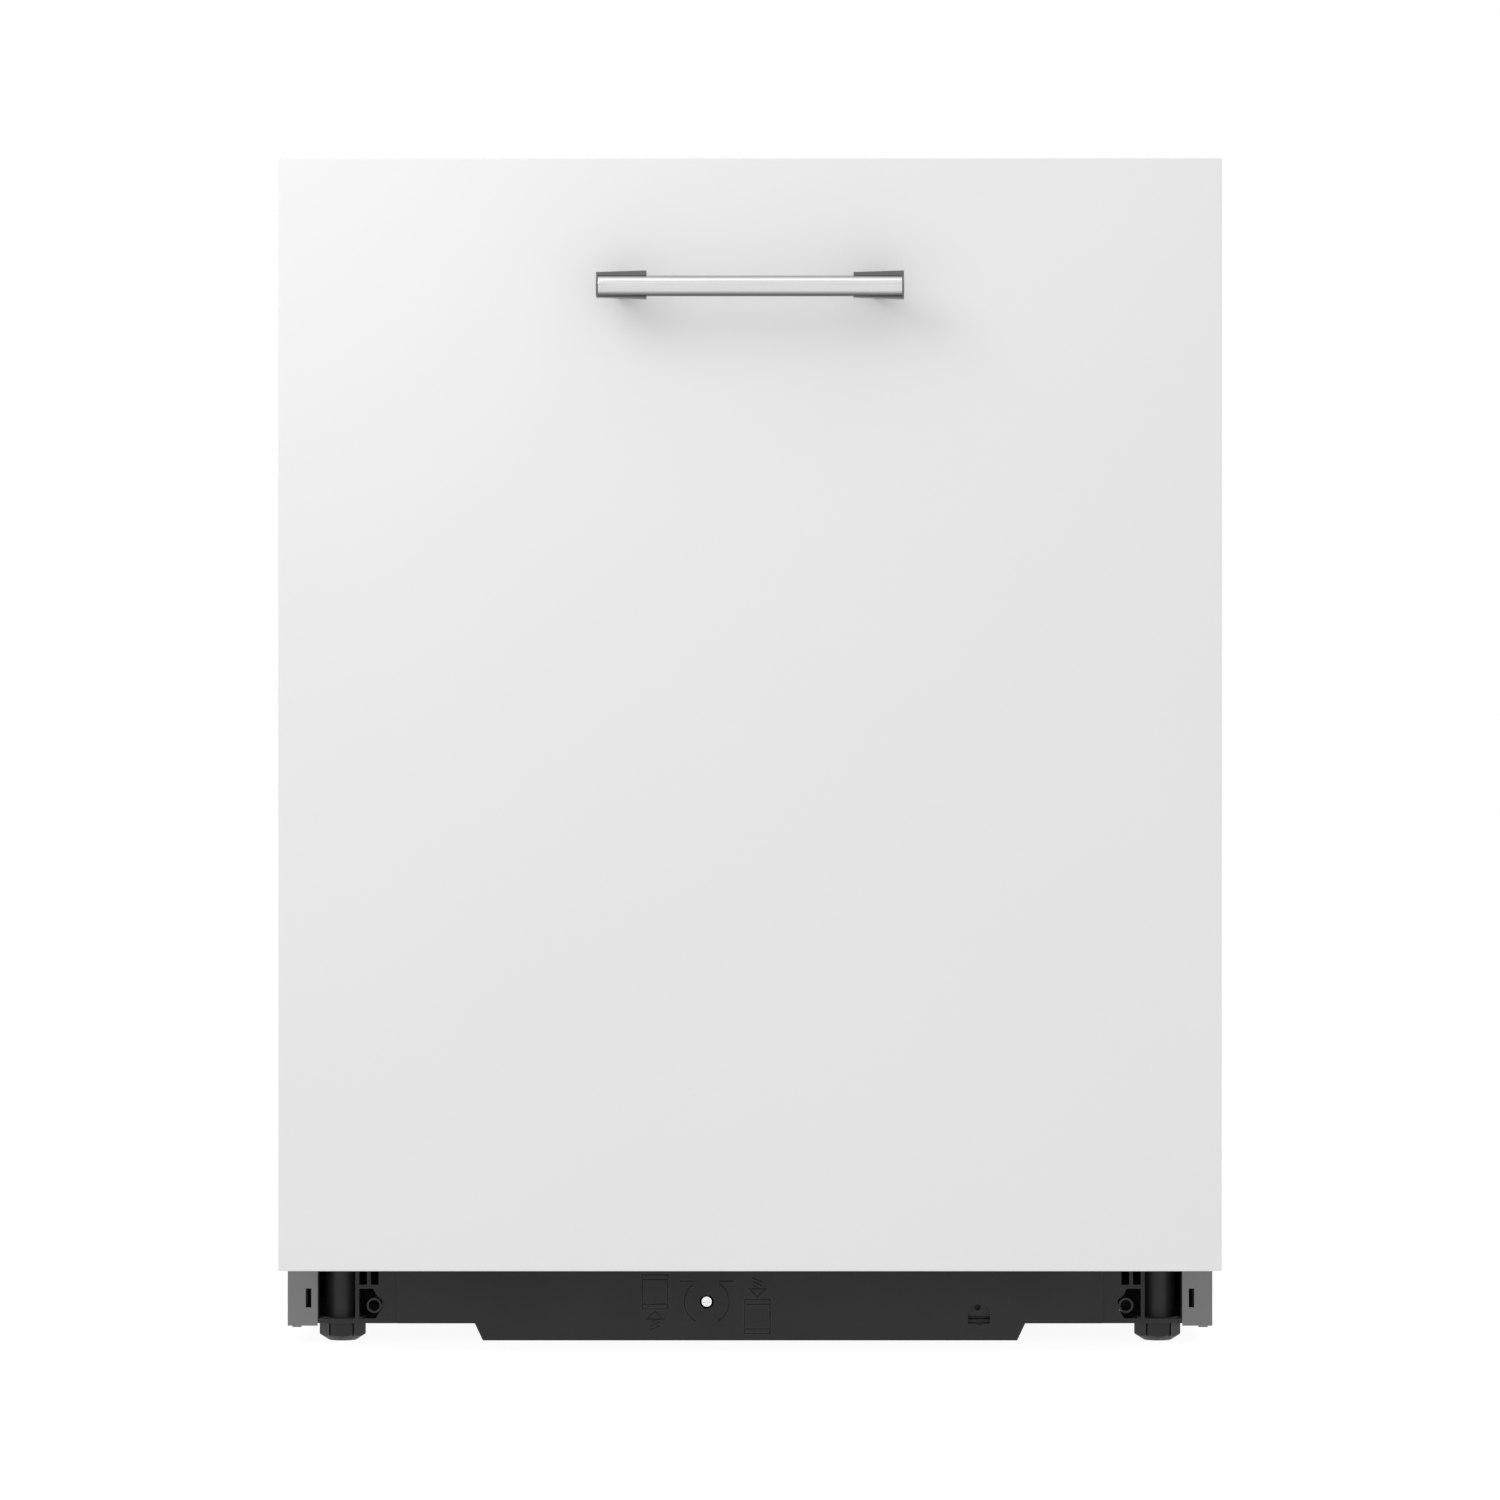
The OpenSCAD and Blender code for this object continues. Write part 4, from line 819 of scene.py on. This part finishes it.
def make_tub():
    """Deep-drawn tub with round corners, open at the front and below."""
    low, high = box_mm("tub_shell")
    inner_low = Vector((low.x + TUB_WALL, low.y, low.z))
    inner_high = Vector((high.x - TUB_WALL, high.y - TUB_WALL, high.z - TUB_WALL))
    bm = bmesh.new()
    bmesh.ops.create_cube(bm, size=1)
    bmesh.ops.scale(bm, vec=inner_high - inner_low, verts=bm.verts)
    bmesh.ops.translate(bm, vec=(inner_low + inner_high) / 2, verts=bm.verts)
    bmesh.ops.recalc_face_normals(bm, faces=bm.faces)
    opened = [f for f in bm.faces if f.normal.y < -0.9 or f.normal.z < -0.9]
    bmesh.ops.delete(bm, geom=opened, context="FACES")
    corners = [e for e in bm.edges if len(e.link_faces) == 2]
    bmesh.ops.bevel(bm, geom=corners, offset=TUB_CORNER, segments=6, profile=0.5, affect="EDGES")
    tub = add_piece("tub", smooth_mesh("tub", bm), "stainless_steel", "cabinet", ["tub_shell"])
    thicken(tub, TUB_WALL)
    weigh_normals(tub)
    make_tub_beads(inner_low, inner_high)


def make_tub_beads(low, high):
    """Long beads pressed into the side walls below the rails, and into the back wall."""
    bm = bmesh.new()
    for side, x in ((1, high.x), (-1, low.x)):
        for z in SIDE_BEAD_HEIGHTS:
            for half, depth in ((9, BEAD_DEPTH / 2), (6, BEAD_DEPTH)):
                outline = rounded((-150, z - half), (230, z + half), half)
                prism(bm, outline, 0, x + side * BEAD_ROOT, x - side * depth)
    for x in (-120, 120):
        for half, depth in ((26, BEAD_DEPTH / 2), (22, BEAD_DEPTH)):
            outline = rounded((x - half, 330), (x + half, 610), half)
            prism(bm, outline, 1, high.y + BEAD_ROOT, high.y - depth)
    solid("tub_beads", bm, "stainless_steel", "cabinet", 0.8)


def make_tub_floor():
    """Tub floor with a ledge all round, a basin that slopes in from it and the filter's opening."""
    low, high = box_mm("tub_floor")
    cup_low, cup_high = box_mm("filter_cup")
    cup = (cup_low + cup_high) / 2
    side_ledge, end_ledge, basin_corner, slope = 36, 32, 34, 12
    opening_r = 46
    grid_step = 12
    basin_low = (low.x + side_ledge, low.y + end_ledge)
    basin_high = (high.x - side_ledge, high.y - end_ledge)
    drop = high.z - low.z - TUB_WALL

    def place(x, y):
        inside = depth_inside(x, y, basin_low, basin_high, basin_corner)
        return x, y, high.z - drop * smooth_step(inside / slope)

    def keep(x, y):
        return math.hypot(x - cup.x, y - cup.y) > opening_r

    xs = lines(low.x, high.x, grid_step, *near(basin_low[0], slope, 1), *near(basin_high[0], slope, -1))
    ys = lines(low.y, high.y, grid_step, *near(basin_low[1], slope, 1), *near(basin_high[1], slope, -1))
    pressed_sheet("tub_base", xs, ys, place, keep, -1.2, "stainless_steel", "cabinet", ["tub_floor"])


def make_door_liner():
    """Inside of the door: a dish with three beads, the dispenser's opening, and a narrower apron below."""
    low, high = box_mm("door_inner_liner")
    flap_low, flap_high = box_mm("dispenser_body")
    apron = box_mm("tub_floor")[1].x + 1.5
    door_low = box_mm("front_frame")[0].z + 10
    dish_low, dish_high = (-245, 152), (245, high.z - 22)
    opening_low = (flap_low.x + 4, flap_low.z + 4)
    opening_high = (flap_high.x - 4, flap_high.z - 4)
    bead_x, bead_half, bead_depth, bead_slope = 170, 9, 2.6, 7
    grid_step = 14

    def place(x, z):
        depth = DISH_DEPTH * smooth_step(depth_inside(x, z, dish_low, dish_high, DISH_CORNER) / DISH_SLOPE)
        for bead_z in DISH_BEADS:
            bead_low, bead_high = (-bead_x, bead_z - bead_half), (bead_x, bead_z + bead_half)
            inside = depth_inside(x, z, bead_low, bead_high, bead_half)
            depth += bead_depth * smooth_step(inside / bead_slope)
        return x, high.y - depth, z

    def keep(x, z):
        behind_flap = opening_low[0] < x < opening_high[0] and opening_low[1] < z < opening_high[1]
        return not behind_flap and (z > door_low or abs(x) < apron)

    bead_ends = (-bead_x, 6 - bead_x, bead_x - 6, bead_x)
    bends = near(dish_low[0], DISH_SLOPE, 1) + near(dish_high[0], DISH_SLOPE, -1)
    xs = lines(low.x, high.x, grid_step, -apron, apron, opening_low[0], opening_high[0], *bead_ends, *bends)
    bead_lines = [z + side * step for z in DISH_BEADS for step in (2, 4.5, 7, 9) for side in (-1, 1)]
    bends = near(dish_low[1], DISH_SLOPE, 1) + near(dish_high[1], DISH_SLOPE, -1)
    zs = lines(low.z, high.z, grid_step, door_low, opening_low[1], opening_high[1], *bead_lines, *bends)
    pressed_sheet("door_liner", xs, zs, place, keep, 1.0, "stainless_steel", "door", ["door_inner_liner"])
    bm = bmesh.new()
    inner, outer = high.x - 1, high.x
    back, front = high.y - 7, high.y - 0.6
    for side in (-1, 1):
        outline = [(side * inner, back), (side * outer, back), (side * outer, front), (side * inner, front)]
        prism(bm, outline, 2, door_low, high.z)
    solid("door_liner_returns", bm, "stainless_steel", "door", 0.2)


def make_gasket():
    """Door seal: a bulb with a lip, led round the tub's mouth on one smooth path."""
    low, high = box_mm("tub_gasket")
    half_x, top = high.x - 4.2, high.z - 3.2
    corners = [(-half_x, 0, low.z), (-half_x, 0, top), (half_x, 0, top), (half_x, 0, low.z)]
    path = bend(corners, 20, steps=8)
    middle_y = (low.y + high.y) / 2
    rings = []
    for i, point in enumerate(path):
        along = (path[min(i + 1, len(path) - 1)] - path[max(i - 1, 0)]).normalized()
        outward = Vector((-along.z, 0, along.x))
        width = 1 if abs(along.x) < 0.5 else SEAL_TOP_WIDTH
        ring = [Vector((point.x, middle_y + v, point.z)) + outward * u * width for u, v in SEAL_SECTION]
        rings.append(ring)
    bm = bmesh.new()
    loft(bm, rings)
    solid("door_seal", bm, "seal_rubber", "cabinet", 0, ["tub_gasket"])


# ---------- Door springs ----------

def make_springs():
    """Two coil springs beside the tub, each between a short straight wire to its clip above and below."""
    low, high = box_mm("door_springs")
    spring_y = (low.y + high.y) / 2
    coil_x, coil_r, turns, turn_steps = 287.5, 5.1, 46, 10
    coil_low, coil_high = 140, 300
    wire_low, wire_high, lead = 120, 321, 6
    paths = []
    for side in (-1, 1):
        x = side * coil_x
        path = [Vector((x, spring_y, wire_low)), Vector((x, spring_y, coil_low - lead))]
        for k in range(turns * turn_steps + 1):
            angle = 2 * math.pi * k / turn_steps
            z = coil_low + (coil_high - coil_low) * k / (turns * turn_steps)
            path.append(Vector((x + coil_r * math.cos(angle), spring_y + coil_r * math.sin(angle), z)))
        path += [Vector((x, spring_y, coil_high + lead)), Vector((x, spring_y, wire_high))]
        paths.append((path, False))
    wires("door_spring_coils", paths, 0.9, "spring_steel", "cabinet", ["door_springs"])
    bm = bmesh.new()
    tub_x = box_mm("tub_shell")[1].x
    clips = ((tub_x, 296, high.z - 3, high.z), (284, 293, low.z, 118))
    for side in (-1, 1):
        for x0, x1, z0, z1 in clips:
            outline = rounded((x0, spring_y - 8), (x1, spring_y + 8), 2.5)
            prism(bm, [(side * x, y) for x, y in outline], 2, z0, z1)
    solid("door_spring_clips", bm, "spring_steel", "cabinet", 0.4)


# ---------- Spray arms ----------

BLADE_THICK = 10

# Sections of a blade as shares of its length, closer together towards the round tip
BLADE_STATIONS = (0, 0.12, 0.3, 0.5, 0.7, 0.82, 0.9, 0.95, 0.98, 0.995)
# A jet, from its middle outwards: (radius, height over the blade)
JET_PROFILE = ((0, -0.6), (1.5, -0.6), (2.1, 0.5), (3.6, 0.5), (4.4, -0.2), (4.4, -2.2), (0, -2.2))


def spray_arm(name, blade_half, sleeve, bore, flip, jets):
    """A rotating arm: two blades that thin towards their tips, a hub with a bore, and a row of jets."""
    low, high = box_mm(name)
    reach = high.x
    arm_y = (low.y + high.y) / 2
    hub = (high.y - low.y) / 2
    open_z = high.z if flip else low.z
    up = -1 if flip else 1
    half_thick = BLADE_THICK / 2
    blade_z = open_z + up * (sleeve + half_thick)
    start = bore + 3
    bm = bmesh.new()
    for side in (-1, 1):
        rings = []
        for t in BLADE_STATIONS:
            x = start + (reach - start) * t
            tip = math.sqrt(max(1 - max(0, (x - reach + blade_half) / blade_half) ** 2, 0.01))
            half_y = blade_half * (1 - 0.12 * t) * tip
            half_z = half_thick * (1 - 0.3 * t) * (0.4 + 0.6 * tip)
            middle_z = blade_z - up * half_thick * 0.2 * t
            rings.append([(side * x, arm_y + y, middle_z + z) for y, z in blade_section(half_y, half_z)])
        loft(bm, rings)
    height = sleeve + 13
    profile = [
        (0, height - 3), (bore, height - 3), (bore, 0), (hub - 1, 0), (hub, 1.5), (hub, height - 5),
        (hub - 2, height - 2), (hub - 8, height - 0.6), (0, height),
    ]
    lathe(bm, [(r, up * z) for r, z in profile], (0, arm_y, open_z))
    solid(name + "_body", bm, "grey_plastic", name, 0.5, [name])
    bm = bmesh.new()
    for i, share in enumerate(jets):
        surface = blade_z + up * half_thick * (1 - 0.5 * share)
        for side in (-1, 1):
            y = arm_y + side * (5 if i % 2 else -5)
            lathe(bm, [(r, up * z) for r, z in JET_PROFILE], (side * share * reach, y, surface), steps=16)
    solid(name + "_jets", bm, "black_plastic", name, 0.15)


def blade_section(half_y, half_z, steps=20):
    """Cross-section of a blade, between an ellipse and a rectangle."""
    section = []
    for k in range(steps):
        c, s = math.cos(2 * math.pi * k / steps), math.sin(2 * math.pi * k / steps)
        section.append((half_y * math.copysign(abs(c) ** 0.7, c), half_z * math.copysign(abs(s) ** 0.6, s)))
    return section


# ---------- Key symbols, display, recess liner and screws ----------

# Middle line of the key symbols, and of the base front's service recess
SYMBOL_Y = -235.5
RECESS_X = 148
FRAME_SCREW_HEIGHTS = (200, 640)
LINER_SCREW_HEIGHTS = (160, 300, 440, 580, 716)


def make_key_symbols():
    """Plain signs beside the keys: on and off, a list, a drop and a start arrow."""
    top = box_mm("control_housing")[1].z + 0.05
    keys = ("button_power", "button_program", "button_option", "button_start")
    power, program, option, start = (sum(corner.x for corner in box_mm(key)) / 2 for key in keys)
    paths = []

    def place(x, points, closed=False):
        paths.append(([Vector((x + u, SYMBOL_Y + v, top)) for u, v in points], closed))

    arc = [math.radians(125 + 290 * k / 16) for k in range(17)]
    place(power, [(2.3 * math.cos(a), 2.3 * math.sin(a)) for a in arc])
    place(power, [(0, 0.6), (0, 3)])
    for v in (-2, 0, 2):
        place(program, [(-1.2, v), (2.8, v)])
        place(program, [(-2.8, v), (-2.2, v)])
    drop = [math.radians(-210 + 240 * k / 12) for k in range(13)]
    place(option, [(1.8 * math.cos(a), -0.8 + 1.8 * math.sin(a)) for a in drop] + [(0, 3)], True)
    place(start, [(-2.6, -2.2), (-2.6, 2.2), (0.6, 0)], True)
    place(start, [(1.6, -2.2), (1.6, 2.2)])
    place(start, [(3, -2.2), (3, 2.2)])
    wires("key_symbols", paths, 0.22, "light_plastic", "door")


def make_display_digits():
    """A time of 1:30 in seven bars a digit, lit behind the window."""
    low, high = box_mm("display_window")
    shown = {"1": "bc", "3": "abgcd", "0": "abcdef"}
    w, h, gap = 5.0, 4.6, 0.6
    bars = {
        "a": (0, 2 * h, w, 2 * h), "b": (w, h, w, 2 * h), "c": (w, 0, w, h), "d": (0, 0, w, 0),
        "e": (0, 0, 0, h), "f": (0, h, 0, 2 * h), "g": (0, h, w, h),
    }
    y0 = (low.y + high.y) / 2 - h
    z = high.z + 0.02
    paths = []
    for x0, digit in ((low.x + 44, "1"), (low.x + 56, "3"), (low.x + 66, "0")):
        for bar in shown[digit]:
            u0, v0, u1, v1 = bars[bar]
            du = gap if u1 != u0 else 0
            dv = gap if v1 != v0 else 0
            ends = [Vector((x0 + u0 + du, y0 + v0 + dv, z)), Vector((x0 + u1 - du, y0 + v1 - dv, z))]
            paths.append((ends, False))
    colon_x = low.x + 52.6
    for v in (h - 1.6, h + 1.6):
        paths.append(([Vector((colon_x, y0 + v, z)), Vector((colon_x + gap, y0 + v, z))], False))
    wires("display_digits", paths, 0.4, "light_plastic", "door")


def screw_head(bm, place, axis, out, radius=3.6, height=1.6):
    """A domed screw head with a six-lobed recess, standing on a face that looks along the axis."""
    steps = 24
    angles = [2 * math.pi * k / steps for k in range(steps)]
    rings = []
    for share_r, share_h in ((1, 0), (1, 0.35), (0.86, 0.75), (0.55, 1)):
        r = share_r * radius
        rings.append([(r * math.cos(a), r * math.sin(a), share_h * height) for a in angles])
    for share_h in (0.95, 0.35):
        ring = []
        for a in angles:
            r = 0.4 * radius * (1 + 0.2 * math.cos(6 * a))
            ring.append((r * math.cos(a), r * math.sin(a), share_h * height))
        rings.append(ring)
    placed = []
    for ring in rings:
        spots = []
        for u, v, w in ring:
            spot = [u, v]
            spot.insert(axis, out * w)
            spots.append(Vector(spot) + Vector(place))
        placed.append(spots)
    loft(bm, placed)


def make_recess_liner():
    """Dark back and sill behind the service recess in the base front."""
    front_y = box_mm("base_front")[0].y + 1
    tray_y = box_mm("base_tray")[0].y
    bm = bmesh.new()
    back = rounded((RECESS_X - 11, 14.7), (RECESS_X + 11, 28), 1)
    prism(bm, back, 1, tray_y + 3, tray_y + 4)
    sill = rounded((RECESS_X - 7.6, 10.6), (RECESS_X + 7.6, 12.3), 0.4)
    prism(bm, sill, 1, front_y + 2.52, tray_y - 0.02)
    solid("recess_liner", bm, "black_plastic", "cabinet", 0.05)


def make_screws():
    frame_y = box_mm("front_frame")[0].y
    side_x = box_mm("side_panel_right")[1].x
    bm = bmesh.new()
    for side in (-1, 1):
        for z in FRAME_SCREW_HEIGHTS:
            screw_head(bm, (side * (side_x - 8), frame_y, z), 1, -1)
    solid("frame_screws", bm, "zinc_plate", "cabinet", 0.1)
    bm = bmesh.new()
    liner_x = box_mm("door_inner_liner")[1].x
    for side in (-1, 1):
        for z in LINER_SCREW_HEIGHTS:
            screw_head(bm, (side * (liner_x - 4.4), LINER_Y, z), 1, 1, 3.0, 1.2)
    solid("liner_screws", bm, "zinc_plate", "door", 0.1)


# ---------- Scene ----------

bpy.context.scene.view_settings.view_transform = "Standard"
materials = make_materials()
make_camera()
make_lights()
make_floor()
dress_cad_nodes()
make_lower_rack()
make_fold_down_tines()
make_upper_rack()
make_cup_shelf()
make_tub()
make_tub_floor()
make_door_liner()
make_gasket()
make_springs()
spray_arm("lower_spray_arm", 20, 6, 12.06, False, (0.22, 0.38, 0.54, 0.7, 0.86))
spray_arm("upper_spray_arm", 18, 0, 9.06, True, (0.24, 0.42, 0.6, 0.78))
spray_arm("top_spray_arm", 15, 4, 9.06, True, (0.3, 0.52, 0.74))
make_key_symbols()
make_display_digits()
make_recess_liner()
make_screws()
